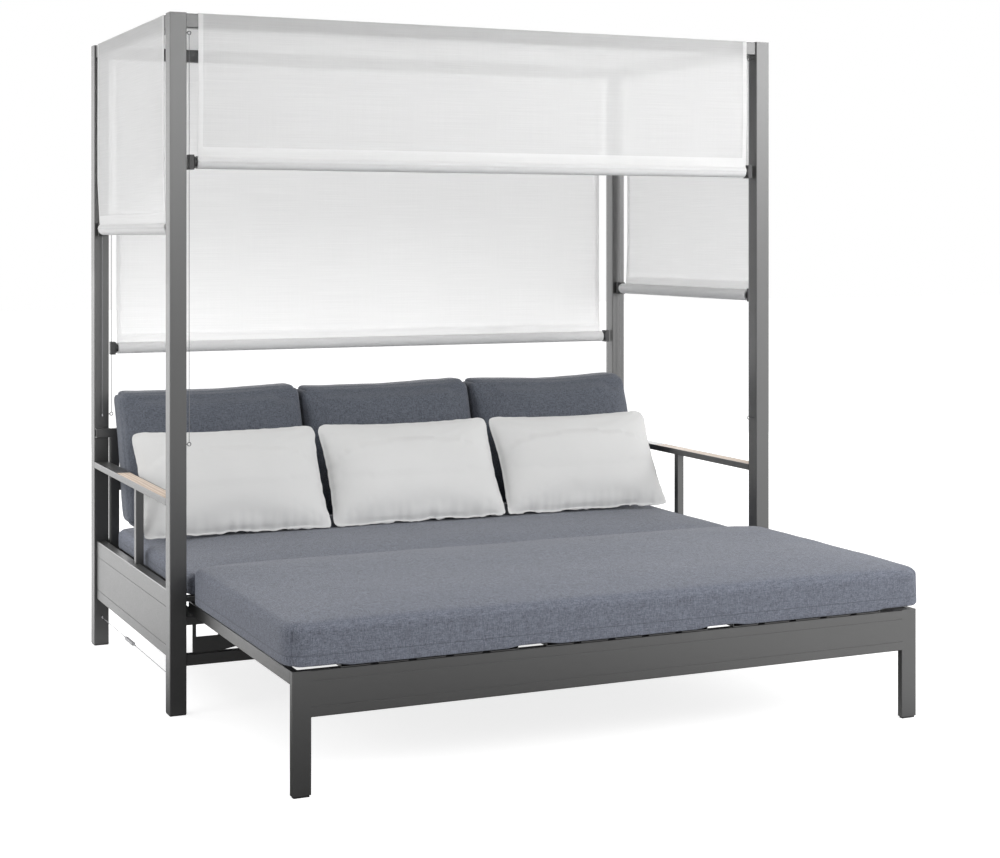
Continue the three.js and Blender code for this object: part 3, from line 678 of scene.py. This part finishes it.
def blind_cloth(side):
    """The hanging cloth, which lies on its roll at the foot."""
    settings = bpy.context.scene.daybed_cloth
    top, across, out, width, drop = blind_frame(side)
    half = width / 2
    hem = settings.hem
    us = [-half, -half + hem, -half + hem + HEM_STEP]
    us += steps(-half + 2 * hem, half - 2 * hem, 36)
    us += [half - hem - HEM_STEP, half - hem, half]
    beam = 0.048
    margin = 0.02
    band = settings.roll_hem
    roll_low, roll_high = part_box(f"{side}_blind_roll")
    radius = (roll_high.z - roll_low.z) / 2
    lift = radius * math.sin(math.radians(48))
    vs = [0, margin, beam]
    vs += steps(beam + margin, drop - 2 * band, 28)
    vs += [drop - 1.5 * band, drop - band - HEM_STEP, drop - band, drop - (band + lift) / 2]
    vs += [drop - lift * share for share in (1.25, 1.06, 1, 0.8, 0.6, 0.4, 0.2, 0)]
    seed = SIDES.index(side) * 7.3
    calm_above = 0.3
    calm_below = 0.12
    return_way = 0.15

    def hemmed(u, v):
        return half - abs(u) <= hem or drop - v <= band

    def place(u, v, face):
        above = drop - v
        free = share_of(v - beam, calm_above) * share_of(above, calm_below)
        waves = wavy(u * 5.5, v * 0.4, seed)
        waves += 0.6 * wavy(u * 12, v * 0.7, seed + 3)
        recess = radius - math.sqrt(radius ** 2 - min(above, lift) ** 2)
        recess *= 1 - share_of(above - lift, return_way)
        layers = 2 if hemmed(u, v) else 1
        offset = face * layers * settings.thickness / 2 + waves * free * settings.ripple
        return top + across * u - Vector((0, 0, v)) + out * (offset - recess)

    piece = panel_of_cloth(f"{side}_blind_sheet", us, vs, place, hemmed)
    smooth(piece, 60)
    dress(piece, cloth_finish())
    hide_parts(f"{side}_blind_cloth")
    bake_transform(piece)


def select_ends(piece):
    """Selects the two ends of a cylinder that is being edited."""
    bpy.ops.mesh.select_mode(type="FACE")
    bpy.ops.mesh.select_all(action="DESELECT")
    shape = bmesh.from_edit_mesh(piece.data)
    for face in shape.faces:
        face.select_set(len(face.verts) > 4)
    bmesh.update_edit_mesh(piece.data)


def wound_cloth(side, axis, across, out, half, radius, pitch, turns):
    """The cloth wound on a roll: a spiral of one layer that runs inwards from the radius."""
    around = 28
    layer = pitch * 0.72
    slack = 0.0003
    count = turns * around
    slices = steps(-half, half, 30)
    points = []
    uvs = []
    for u in slices:
        for k in range(count + 1):
            angle = 2 * math.pi * k / around
            away = radius - pitch * k / around
            away -= slack * (1 + wavy(u * 9, k * 0.06, SIDES.index(side)))
            for depth in (0, layer):
                reach = away - depth
                spot = axis + across * u + out * (reach * math.cos(angle))
                points.append(spot - Vector((0, 0, reach * math.sin(angle))))
                uvs.append((u, angle * radius))
    row = 2 * (count + 1)
    last = (len(slices) - 1) * row
    faces = []
    for a in range(0, last, row):
        b = a + row
        for k in range(count):
            faces.append([a + 2 * k, b + 2 * k, b + 2 * k + 2, a + 2 * k + 2])
            faces.append([a + 2 * k + 1, a + 2 * k + 3, b + 2 * k + 3, b + 2 * k + 1])
        faces.append([a, a + 1, b + 1, b])
        faces.append([a + row - 2, b + row - 2, b + row - 1, a + row - 1])
    for start, turn in ((0, 1), (last, -1)):
        for k in range(count):
            ring = [start + 2 * k, start + 2 * k + 2, start + 2 * k + 3, start + 2 * k + 1]
            faces.append(ring[::turn])
    wound = mesh_object(f"{side}_wound_cloth", points, faces, uvs)
    pick(wound)
    bpy.ops.object.mode_set(mode="EDIT")
    bpy.ops.mesh.select_all(action="SELECT")
    bpy.ops.mesh.normals_make_consistent(inside=False)
    bpy.ops.object.mode_set(mode="OBJECT")
    smooth(wound, 50)
    dress(wound, cloth_finish(wound=True))
    return wound


def roll_cylinder(middle, across, radius, depth, bevel):
    """Adds a cylinder along a roll, bevels its ends and leaves them selected in edit mode."""
    clear_selection()
    bpy.ops.mesh.primitive_cylinder_add(
        vertices=40, radius=radius, depth=depth, end_fill_type="NGON",
        location=middle, rotation=across.to_track_quat("Z", "Y").to_euler())
    made = bpy.context.object
    bpy.ops.object.transform_apply(location=True, rotation=True, scale=True)
    bpy.ops.object.mode_set(mode="EDIT")
    select_ends(made)
    bpy.ops.mesh.bevel(offset=bevel, segments=2, affect="EDGES")
    select_ends(made)
    return made


def roll_tube(side, axis, across, length, radius, rim_radius):
    """The tube of a roll, hollow at both ends, with a rim round each end."""
    rim = 0.005
    hollow = 0.012
    tube = roll_cylinder(axis, across, radius, length, 0.0006)
    bpy.ops.mesh.inset(thickness=0.0022)
    bpy.ops.mesh.extrude_region_shrink_fatten(TRANSFORM_OT_shrink_fatten={"value": -hollow})
    parts = [tube]
    for end in (-1, 1):
        middle = axis + across * (end * (length - rim) / 2)
        parts.append(roll_cylinder(middle, across, rim_radius, rim, 0.0007))
    clear_selection()
    for part in parts:
        part.select_set(True)
    bpy.context.view_layer.objects.active = tube
    bpy.ops.object.join()
    tube.name = f"{side}_roll_tube"
    smooth(tube)
    dress(tube, plastic_finish())
    return tube


def blind_roll(side):
    """The wound cloth, and the tube with two end rims that it is wound on."""
    _, across, out, width, _ = blind_frame(side)
    low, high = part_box(f"{side}_blind_roll")
    axis = (low + high) / 2
    radius = (high.z - low.z) / 2
    length = abs((high - low).dot(across))
    turns = 5
    inner = radius * 0.64
    pitch = (radius - inner) / turns
    wound = wound_cloth(side, axis, across, out, width / 2, radius, pitch, turns)
    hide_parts(f"{side}_blind_roll")
    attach(wound, f"{side}_roll")
    tube = roll_tube(side, axis, across, length, inner - pitch * 0.2, radius * 0.88)
    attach(tube, f"{side}_roll")


def roof_cloth():
    """The cloth stretched over the roof beams, with its corners cut away."""
    settings = bpy.context.scene.daybed_cloth
    low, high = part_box("roof_canopy")
    middle = (low + high) / 2
    half_x = (high.x - low.x) / 2
    half_y = (high.y - low.y) / 2
    notch = half_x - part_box("front_blind_cloth")[1].x
    hem = settings.hem
    beam = 0.042
    clear = 0.0001

    def lines(half, count):
        inner = half - notch
        ends = [half, half - hem, half - hem - HEM_STEP, half - notch / 2 - 0.02, inner]
        ends = sorted({round(end, 5) for end in ends}, reverse=True)
        return [-end for end in ends] + steps(-inner + beam, inner - beam, count) + ends[::-1]

    def place(u, v, face):
        inner_u = max(0, 1 - abs(u) / (half_x - beam))
        inner_v = max(0, 1 - abs(v) / (half_y - beam))
        dip = settings.roof_sag * (1 - (1 - inner_u) ** 2) * (1 - (1 - inner_v) ** 2)
        dip += 0.25 * dip * wavy(u * 2.2, v * 2.8, 4.1)
        layers = 2 if hemmed(u, v) else 1
        height = low.z + clear + settings.thickness * (0.5 + face * 0.5) * layers - dip
        return Vector((middle.x + u, middle.y + v, height))

    def hemmed(u, v):
        return half_x - abs(u) <= hem or half_y - abs(v) <= hem

    piece = panel_of_cloth(
        "roof_sheet", lines(half_x, 40), lines(half_y, 24), place, hemmed,
        keep=lambda u, v: abs(u) < half_x - notch or abs(v) < half_y - notch)
    smooth(piece, 60)
    dress(piece, cloth_finish())
    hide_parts("roof_canopy")
    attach(piece, "frame")


# Cushions

def points_of(piece, key="co"):
    """The places of a piece's points, or their normals, as rows of an array."""
    flat = np.empty(len(piece.data.vertices) * 3)
    piece.data.vertices.foreach_get(key, flat)
    return flat.reshape(-1, 3)


def set_points(piece, points):
    """Moves a piece's points to the rows of an array."""
    piece.data.vertices.foreach_set("co", np.ascontiguousarray(points, dtype=float).ravel())
    piece.data.update()


def stations(half, cell):
    """Places across a pad, closer together near its edges."""
    edge = [0, 0.005, 0.013, 0.026]
    count = max(2, round(2 * (half - edge[-1]) / cell))
    inner = steps(-half + edge[-1], half - edge[-1], count)
    return [-half + way for way in edge[:-1]] + inner + [half - way for way in edge[-2::-1]]


def box_of_cloth(name, us, vs, ws, form):
    """A closed box of cloth whose points form(u, v, w) gives, with an even grid on each side."""
    points = []
    index = {}
    faces = []

    def corner(i, j, k):
        if (i, j, k) not in index:
            index[i, j, k] = len(points)
            points.append(form(us[i], vs[j], ws[k]))
        return index[i, j, k]

    last_u, last_v, last_w = len(us) - 1, len(vs) - 1, len(ws) - 1
    for i in range(last_u):
        for j in range(last_v):
            ring = square(i, j)
            faces.append([corner(a, b, last_w) for a, b in ring])
            faces.append([corner(a, b, 0) for a, b in reversed(ring)])
    for k in range(last_w):
        for i in range(last_u):
            ring = square(i, k)
            faces.append([corner(a, 0, c) for a, c in ring])
            faces.append([corner(a, last_v, c) for a, c in reversed(ring)])
        for j in range(last_v):
            ring = square(j, k)
            faces.append([corner(last_u, b, c) for b, c in ring])
            faces.append([corner(0, b, c) for b, c in reversed(ring)])
    return mesh_object(name, points, faces)


def rounded(point, half, radius):
    """Moves a point of a box's surface onto the same box with rounded edges."""
    inner = Vector([max(radius - size, min(size - radius, part)) for part, size in zip(point, half)])
    away = point - inner
    return inner + away.normalized() * radius if away.length > 1e-9 else point


def rounded_plan(u, v, half_u, half_v, radius):
    """Moves a point of a rectangle onto the same rectangle with rounded corners."""
    share = max(abs(u) / half_u, abs(v) / half_v, 1e-6)
    rim = rounded(Vector((u / share, v / share, 0)), (half_u, half_v, 1), radius)
    return rim.x * share, rim.y * share


def evened(piece, values, times):
    """Averages values over neighbouring points, as often as told."""
    ends = np.empty(2 * len(piece.data.edges), dtype=int)
    piece.data.edges.foreach_get("vertices", ends)
    first, second = ends.reshape(-1, 2).T
    count = np.bincount(ends, minlength=len(values))[:, None]
    for _ in range(times):
        total = np.zeros_like(values)
        np.add.at(total, first, values[second])
        np.add.at(total, second, values[first])
        values = (values + total / count) / 2
    return values


def fullness(u, v, half_u, half_v, power, rim=0.0):
    """Share of the crown at a place: 1 in the middle, 0 within rim of the edge."""
    far_u = min(1, abs(u) / (half_u - rim))
    far_v = min(1, abs(v) / (half_v - rim))
    return math.sqrt((1 - far_u ** power) * (1 - far_v ** power))


def swell(piece, cap, seated, even=4, shy=0.002):
    """Blows a cushion up with Blender's cloth, and caps how far a point moves. A point that
    lies within seated of its lowest point moves less, so that its underside stays flat, and
    none draws in by more than shy."""
    settings = bpy.context.scene.daybed_cushions
    before = points_of(piece)
    modifier = piece.modifiers.new("Swell", "CLOTH")
    cloth = modifier.settings
    cloth.quality = 5
    cloth.mass = 0.3
    cloth.tension_stiffness = 12
    cloth.compression_stiffness = 12
    cloth.shear_stiffness = 6
    cloth.bending_stiffness = 0.6
    cloth.use_pressure = True
    cloth.uniform_pressure_force = settings.pressure
    cloth.effector_weights.gravity = 0
    modifier.collision_settings.use_collision = False
    modifier.point_cache.frame_start = 1
    modifier.point_cache.frame_end = SWELL_FRAMES
    for number in range(1, SWELL_FRAMES + 1):
        bpy.context.scene.frame_set(number)
    apply_modifiers(piece)
    bpy.context.scene.frame_set(1)
    moved = points_of(piece) - before
    far = np.linalg.norm(moved, axis=1, keepdims=True)
    moved *= cap * np.tanh(far / cap) / np.maximum(far, 1e-9)
    moved = evened(piece, moved, even)
    heights = before[:, 2:3] - before[:, 2].min()
    moved *= np.clip(heights / seated, 0, 1)
    outwards = np.sign(before - (before.max(0) + before.min(0)) / 2)
    moved = np.where(moved * outwards < -shy, -shy * outwards, moved)
    set_points(piece, before + moved)


def fit_to(piece, node, room=0.0):
    """Stretches a piece so that it fills the box of its solid, with room more at the left and
    the right."""
    low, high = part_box(node)
    points = points_of(piece)
    first, last = points.min(0), points.max(0)
    target_low = np.array(low) - (room, 0, 0)
    target_high = np.array(high) + (room, 0, 0)
    share = (points - first) / (last - first)
    set_points(piece, target_low + share * (target_high - target_low))


def finish_cushion(piece, node, material, body):
    """Shades and dresses a cushion, hides the solid that it stands in for, and hangs it on its body.
    """
    pick(piece)
    bpy.ops.object.shade_smooth()
    dress(piece, material)
    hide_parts(node)
    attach(piece, body)


def crease(piece, wrinkles):
    """Moves each point along its normal by what wrinkles(point) gives."""
    normals = points_of(piece, "normal")
    points = points_of(piece)
    shift = np.array([wrinkles(Vector(point)) for point in points])
    set_points(piece, points + normals * shift[:, None])


def finer(piece):
    """Subdivides a cushion's mesh."""
    modifier = piece.modifiers.new("Finer", "SUBSURF")
    modifier.levels = 2
    modifier.render_levels = modifier.levels
    apply_modifiers(piece)


def hang_over(piece, low, seed):
    """Lets the mattress's front edge hang over the ends of the slats, and less so at the wide
    gaps between their groups and beside them."""
    hang = 0.009
    held_back = 0.0065
    edge_depth = 0.02
    edge_height = 0.05
    gap_end = 0.075
    gap_fade = 0.035
    bed_low, bed_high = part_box("pullout_bed")
    reach = (bed_high.x - bed_low.x) / 2 - SLAT_MARGIN
    pitch = (2 * reach + SLAT_GROUP_GAP) / SLAT_GROUPS
    outer_gap = 0.05
    points = points_of(piece)
    beside = np.abs(points[:, 0])
    far = np.minimum(np.abs(beside - pitch / 2), np.abs(beside - reach - outer_gap))
    gap = np.clip((gap_end - far) / gap_fade, 0, 1)
    waves = np.array([wavy(x * 3, 0, seed) for x in points[:, 0]])
    ahead = np.clip(1 - (points[:, 1] - low.y) / edge_depth, 0, 1)
    down = np.clip(1 - (points[:, 2] - low.z) / edge_height, 0, 1)
    points[:, 2] -= (hang - held_back * gap) * (1 + 0.12 * waves) * ahead * down
    set_points(piece, points)


def seat_cushion(node, name, body):
    """The rear seat cushion or the front mattress: a flat pad with a crowned top."""
    settings = bpy.context.scene.daybed_cushions
    low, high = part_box(node)
    half = (high - low) / 2
    centre = (low + high) / 2
    crown = 0.019
    radius = 0.021
    corner = 0.055
    cell = 0.027
    flat_foot = 0.035
    seam = low.z + 0.026
    seed = 3.0 if body == "mattress" else 11.0

    def form(u, v, w):
        x, y, z = rounded(Vector((u, v, w)), half, radius if w > 0 else radius / 2)
        x, y = rounded_plan(x, y, half.x, half.y, corner)
        drop = crown * (1 - fullness(u, v, half.x, half.y, 4.5)) * (w / half.z + 1) / 2
        return centre + Vector((x, y, z - drop))

    def soft_waves(point):
        height = (point.z - low.z) / (high.z - low.z)
        broad = wavy(point.x * 3.1, point.y * 3.7, seed)
        fine = wavy(point.x * 11, point.y * 12, point.z * 9 + seed)
        return max(0, height - 0.15) * (0.003 * broad + 0.0012 * fine)

    piece = box_of_cloth(name, *(stations(size, cell) for size in half), form)
    swell(piece, settings.seat_cap, flat_foot)
    finer(piece)
    crease(piece, soft_waves)
    fit_to(piece, node)
    if body == "mattress":
        hang_over(piece, low, seed)
    material = fabric_finish(f"{name} fabric", settings.seat, seam=seam)
    finish_cushion(piece, node, material, body)


def back_cushion(place):
    """A pad that leans on the backrest frame and bulges most in its middle."""
    settings = bpy.context.scene.daybed_cushions
    node = f"back_cushion_{place}"
    low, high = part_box(node)
    lean = 0.32
    tall = (high.z - low.z) / 2
    half = Vector(((high.x - low.x) / 2, tall, (high.y - low.y - 2 * lean * tall) / 2 - 0.02))
    centre = (low + high) / 2
    crown = 0.03
    pull = 0.009
    radius = 0.022
    corner = 0.034
    bulge_behind = 0.008
    flat_foot = 0.03
    tip = {"left": 0.004, "middle": 0.006, "right": 0.001}[place]
    seed = PLACES.index(place) * 5.7

    def form(u, v, w):
        x, z, out = rounded(Vector((u, v, w)), half, radius)
        x, z = rounded_plan(x, z, half.x, half.y, corner)
        x *= 1 - 0.2 * pull / half.x * (1 - (v / half.y) ** 2)
        z *= 1 - pull / half.y * (1 - (u / half.x) ** 2) * (v > 0)
        z += tip * (u / half.x - 1) * max(0, v / half.y)
        full = fullness(u, v, half.x, half.y, 2.6)
        out += crown * full * max(0, out / half.z) + bulge_behind * full * min(0, out / half.z)
        return centre + Vector((x, lean * z - out, z))

    def soft_waves(point):
        broad = wavy(point.x * 4.5, point.z * 4.5, seed)
        fine = wavy(point.x * 16, point.z * 13, point.y * 12 + seed)
        return 0.004 * broad + 0.0014 * fine

    piece = box_of_cloth(
        f"back_pad_{place}", stations(half.x, 0.016), stations(half.y, 0.016),
        stations(half.z, 0.02), form)
    swell(piece, settings.back_cap, flat_foot, 6)
    finer(piece)
    crease(piece, soft_waves)
    fit_to(piece, node, 0.005)
    # The back cushions take the darker back fabric, which is painted shade of the canopy.
    material = fabric_finish("Back fabric", settings.back, math.atan(lean))
    finish_cushion(piece, node, material, "frame")


def pillow(place):
    """A throw pillow that leans on a back cushion, gathered along its seams."""
    settings = bpy.context.scene.daybed_cushions
    node = f"pillow_{place}"
    low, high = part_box(node)
    centre = (low + high) / 2
    up = Vector((0, math.cos(PILLOW_TILT), math.sin(PILLOW_TILT)))
    out = Vector((0, -math.sin(PILLOW_TILT), math.cos(PILLOW_TILT)))
    half_u = (high.x - low.x) / 2
    half_v = 0.19
    seam = 0.0012
    flange = 0.006
    crown = 0.06
    corner = 0.036
    side_pull = 0.012
    top_pull = 0.01
    foot_pull = 0.002
    sag = 0.004
    sag_height = 0.05
    seed = PLACES.index(place) * 9.1

    def form(u, v, w):
        x, y = rounded_plan(u, v, half_u, half_v, corner if v > 0 else corner / 2)
        x *= 1 - side_pull / half_u * (1 - (v / half_v) ** 2)
        y *= 1 - (top_pull if v > 0 else foot_pull) / half_v * (1 - (u / half_u) ** 2)
        full = fullness(u, v, half_u, half_v, 2.1, flange)
        return centre + Vector((x, 0, 0)) + up * y + out * w * (seam + crown * full)

    def gathers(point):
        across = (point.x - centre.x) / half_u
        height = (point - centre).dot(up) / half_v
        foot = max(0, 1 - (height + 1) * half_v / 0.07)
        top = max(0, 1 - (1 - height) * half_v / 0.04)
        side = max(0, 1 - (1 - abs(across)) * half_u / 0.05)
        upright = wavy(point.x * 42, height * 1.5, seed)
        level = wavy(across * 2, height * 7, seed + 5)
        broad = wavy(point.x * 5, height * 1.3, seed + 2)
        folds = (foot ** 1.5 + 0.35 * top) * upright + 0.5 * side * level
        return 0.0065 * folds + 0.0022 * broad

    piece = box_of_cloth(
        f"throw_pillow_{place}", stations(half_u, 0.013), stations(half_v, 0.013), [-1, 1], form)
    swell(piece, settings.pillow_cap, 0.02, 10)
    finer(piece)
    crease(piece, gathers)
    fit_to(piece, node)
    points = points_of(piece)
    sat = np.clip(1 - (points[:, 2] - low.z) / sag_height, 0, 1) ** 2
    free = points[:, 2] > low.z + sag
    points[:, 2] -= sag * sat * np.sin(points[:, 0] * 31 + seed) * free
    points[:, 2] = np.maximum(points[:, 2], low.z)
    set_points(piece, points)
    finish_cushion(piece, node, pillow_finish(), "frame")


# Arm wood

def arm_wood(side):
    """The wood top of an arm, rounded along its upper and upright edges."""
    settings = bpy.context.scene.daybed_frame
    node = f"arm_wood_{side}"
    low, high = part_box(node)
    size = high - low
    clear_selection()
    bpy.ops.mesh.primitive_cube_add(size=1, location=(low + high) / 2, scale=size)
    piece = bpy.context.object
    piece.name = f"arm_top_{side}"
    bpy.ops.object.transform_apply(location=True, rotation=True, scale=True)
    bpy.ops.object.mode_set(mode="EDIT")
    bpy.ops.mesh.select_all(action="DESELECT")
    shape = bmesh.from_edit_mesh(piece.data)
    for edge in shape.edges:
        top = all(abs(vertex.co.z - high.z) < 1e-5 for vertex in edge.verts)
        upright = abs(edge.verts[0].co.z - edge.verts[1].co.z) > size.z / 2
        edge.select_set(top or upright)
    bmesh.update_edit_mesh(piece.data)
    bpy.ops.mesh.bevel(offset=settings.wood_round, segments=3, affect="EDGES")
    bpy.ops.object.mode_set(mode="OBJECT")
    smooth(piece)
    dress(piece, wood_finish())
    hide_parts(node)
    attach(piece, "frame")


# Operators

class DAYBED_OT_stage(bpy.types.Operator):
    """Makes the floor, the light and the camera"""

    bl_idname = "daybed.stage"
    bl_label = "Stage"

    def execute(self, context):
        settings = context.scene.daybed_stage
        context.scene.view_settings.view_transform = "Standard"
        clear_selection()
        bpy.ops.mesh.primitive_plane_add(size=60)
        floor = context.object
        floor.name = "studio_floor"

        def draw(tree):
            path = put(tree, "ShaderNodeLightPath").outputs
            gloss = path["Is Glossy Ray"]
            seen = seen_as_white(tree, path)
            place = object_space(tree)
            # Near the bed, the floor that reflections see is painted dark grey with no glow. This
            # painted shadow fades to white further off.
            away = put(tree, "ShaderNodeVectorMath", {0: place, 1: PAINTED_FLOOR_SHADOW},
                       operation="DISTANCE").outputs["Value"]
            away = spread(tree, away, *PAINTED_FLOOR_SHADOW_REACH)
            shown = settings.floor_shade
            grey = mixed(tree, seen, even_grey(settings.floor_bounce), even_grey(shown))
            light = mixed(tree, seen, BLACK, even_grey(1.04 - shown / 2))
            mirrored_grey_painted_shadow = mixed(tree, away, even_grey(0.12), even_grey(0.85))
            mirrored_white_painted_shadow = mixed(tree, away, BLACK, even_grey(0.18))
            return {
                "Base Color": mixed(tree, gloss, grey, mirrored_grey_painted_shadow),
                "Emission Color": mixed(tree, gloss, light, mirrored_white_painted_shadow),
                "Roughness": spread(tree, clouds(tree, place, 40.0), 0.3, 0.7, 0.9, 1.0),
            }

        dress(floor, finish_of(
            "Studio floor", draw, Specular_IOR_Level=0.0, Emission_Strength=1.0))

        world = bpy.data.worlds.new("Studio")
        context.scene.world = world
        world.use_nodes = True
        tree = world.node_tree
        sky = tree.nodes["Background"]
        seen = seen_as_white(tree, put(tree, "ShaderNodeLightPath").outputs)
        sky.inputs["Color"].default_value = WHITE
        tree.links.new(spread(tree, seen, 0, 1, settings.sky, 1.0), sky.inputs["Strength"])

        lamps = (
            ("key_lamp", (2.3, -3.5, 2.5), (0.4, 0, 1.75), (5.6, 1.2)),
            ("fill_lamp", (4.8, -4.3, 0.85), (0.5, 0, 0.7), (3.8, 1.6)),
            ("left_lamp", (-6.5, -0.6, 2.6), (-1.0, 0.3, 0.9), (4, 4)),
            ("rim_lamp", (-2.7, 5.2, 1.3), (-1.0, 0, 1.0), (2.6, 2.6)),
            ("floor_lamp", (-2.1, 2.3, 1.3), (-2.1, 2.31, 0), (1.6, 3.2)),
            ("wall_lamp", (2.2, 6.5, 2.2), (0.5, 0, 1.8), (6.6, 4)),
            ("right_lamp", (6.5, 1.0, 2.6), (1.0, 0.5, 1.6), (3, 3)),
        )
        for name, place, aim, size in lamps:
            lamp = bpy.data.lights.new(name, "AREA")
            lamp.shape = "RECTANGLE"
            lamp.size, lamp.size_y = size
            lamp.energy = getattr(settings, name)
            lamp.color = WHITE[:3]
            made = bpy.data.objects.new(name, lamp)
            made.location = place
            made.rotation_euler = (Vector(aim) - Vector(place)).to_track_quat("-Z", "Y").to_euler()
            made.visible_camera = False
            context.scene.collection.objects.link(made)

        camera = bpy.data.cameras.new("camera")
        camera.sensor_fit = "HORIZONTAL"
        camera.sensor_width = 36
        camera.lens = CAMERA_LENS
        camera.shift_y = CAMERA_SHIFT
        holder = bpy.data.objects.new("camera", camera)
        holder.location = CAMERA_PLACE
        holder.rotation_euler = (math.radians(90), 0, math.radians(CAMERA_HEADING))
        context.scene.collection.objects.link(holder)
        context.scene.camera = holder
        return {"FINISHED"}


class DAYBED_OT_frame_finishes(bpy.types.Operator):
    """Coats the metal frame and finishes its plastic, rubber and steel parts"""

    bl_idname = "daybed.frame_finishes"
    bl_label = "Frame finishes"

    def execute(self, context):
        dress_nodes(COATED, coat_finish())
        dress_nodes(PLASTIC, plastic_finish())
        dress_nodes(RUBBER, rubber_finish())
        dress_nodes(WIRES, steel_finish("Guide wire", (0.5, 0.5, 0)))
        dress_nodes(TENSION_WIRES, steel_finish("Tension wire", (math.pi / 2, 0, 0.5)))
        return {"FINISHED"}


class DAYBED_OT_arm_wood(bpy.types.Operator):
    """Makes the wood tops of the arms"""

    bl_idname = "daybed.arm_wood"
    bl_label = "Arm wood"

    def execute(self, context):
        for side in ("left", "right"):
            arm_wood(side)
        return {"FINISHED"}


class DAYBED_OT_roof_cloth(bpy.types.Operator):
    """Stretches the roof cloth over the beams"""

    bl_idname = "daybed.roof_cloth"
    bl_label = "Roof cloth"

    def execute(self, context):
        roof_cloth()
        return {"FINISHED"}


class DAYBED_OT_blinds(bpy.types.Operator):
    """Hangs the four roll-up blinds"""

    bl_idname = "daybed.blinds"
    bl_label = "Blinds"

    def execute(self, context):
        for side in SIDES:
            blind_roll(side)
            blind_cloth(side)
        return {"FINISHED"}


class DAYBED_OT_seat_cushions(bpy.types.Operator):
    """Makes the rear seat cushion and the front mattress"""

    bl_idname = "daybed.seat_cushions"
    bl_label = "Seat cushions"

    def execute(self, context):
        seat_cushion("rear_cushion", "rear_seat_pad", "frame")
        seat_cushion("front_mattress", "front_seat_pad", "mattress")
        return {"FINISHED"}


class DAYBED_OT_back_cushions(bpy.types.Operator):
    """Makes the three back cushions"""

    bl_idname = "daybed.back_cushions"
    bl_label = "Back cushions"

    def execute(self, context):
        for place in PLACES:
            back_cushion(place)
        return {"FINISHED"}


class DAYBED_OT_pillows(bpy.types.Operator):
    """Makes the three pillows"""

    bl_idname = "daybed.pillows"
    bl_label = "Pillows"

    def execute(self, context):
        for place in PLACES:
            pillow(place)
        return {"FINISHED"}


class DAYBED_PT_panel(bpy.types.Panel):
    """Lists the daybed's operators and settings"""

    bl_idname = "DAYBED_PT_panel"
    bl_label = "Canopy Daybed"
    bl_space_type = "VIEW_3D"
    bl_region_type = "UI"
    bl_category = "Daybed"

    def draw(self, context):
        layout = self.layout
        for operator in OPERATORS:
            layout.operator(operator.bl_idname)
        for name in SETTINGS:
            group = getattr(context.scene, name)
            box = layout.box()
            for key in group.__annotations__:
                box.prop(group, key)


SETTINGS = {
    "daybed_frame": FrameSettings,
    "daybed_cloth": ClothSettings,
    "daybed_cushions": CushionSettings,
    "daybed_stage": StageSettings,
}
OPERATORS = (
    DAYBED_OT_stage,
    DAYBED_OT_frame_finishes,
    DAYBED_OT_arm_wood,
    DAYBED_OT_roof_cloth,
    DAYBED_OT_blinds,
    DAYBED_OT_seat_cushions,
    DAYBED_OT_back_cushions,
    DAYBED_OT_pillows,
)


def register():
    for item in (*SETTINGS.values(), *OPERATORS, DAYBED_PT_panel):
        bpy.utils.register_class(item)
    for name, group in SETTINGS.items():
        setattr(bpy.types.Scene, name, bpy.props.PointerProperty(type=group))


def unregister():
    for name in SETTINGS:
        delattr(bpy.types.Scene, name)
    for item in reversed((*SETTINGS.values(), *OPERATORS, DAYBED_PT_panel)):
        bpy.utils.unregister_class(item)


def main():
    register()
    bpy.ops.daybed.stage()
    bpy.ops.daybed.frame_finishes()
    bpy.ops.daybed.arm_wood()
    bpy.ops.daybed.roof_cloth()
    bpy.ops.daybed.blinds()
    bpy.ops.daybed.seat_cushions()
    bpy.ops.daybed.back_cushions()
    bpy.ops.daybed.pillows()


if __name__ == "__main__":
    main()
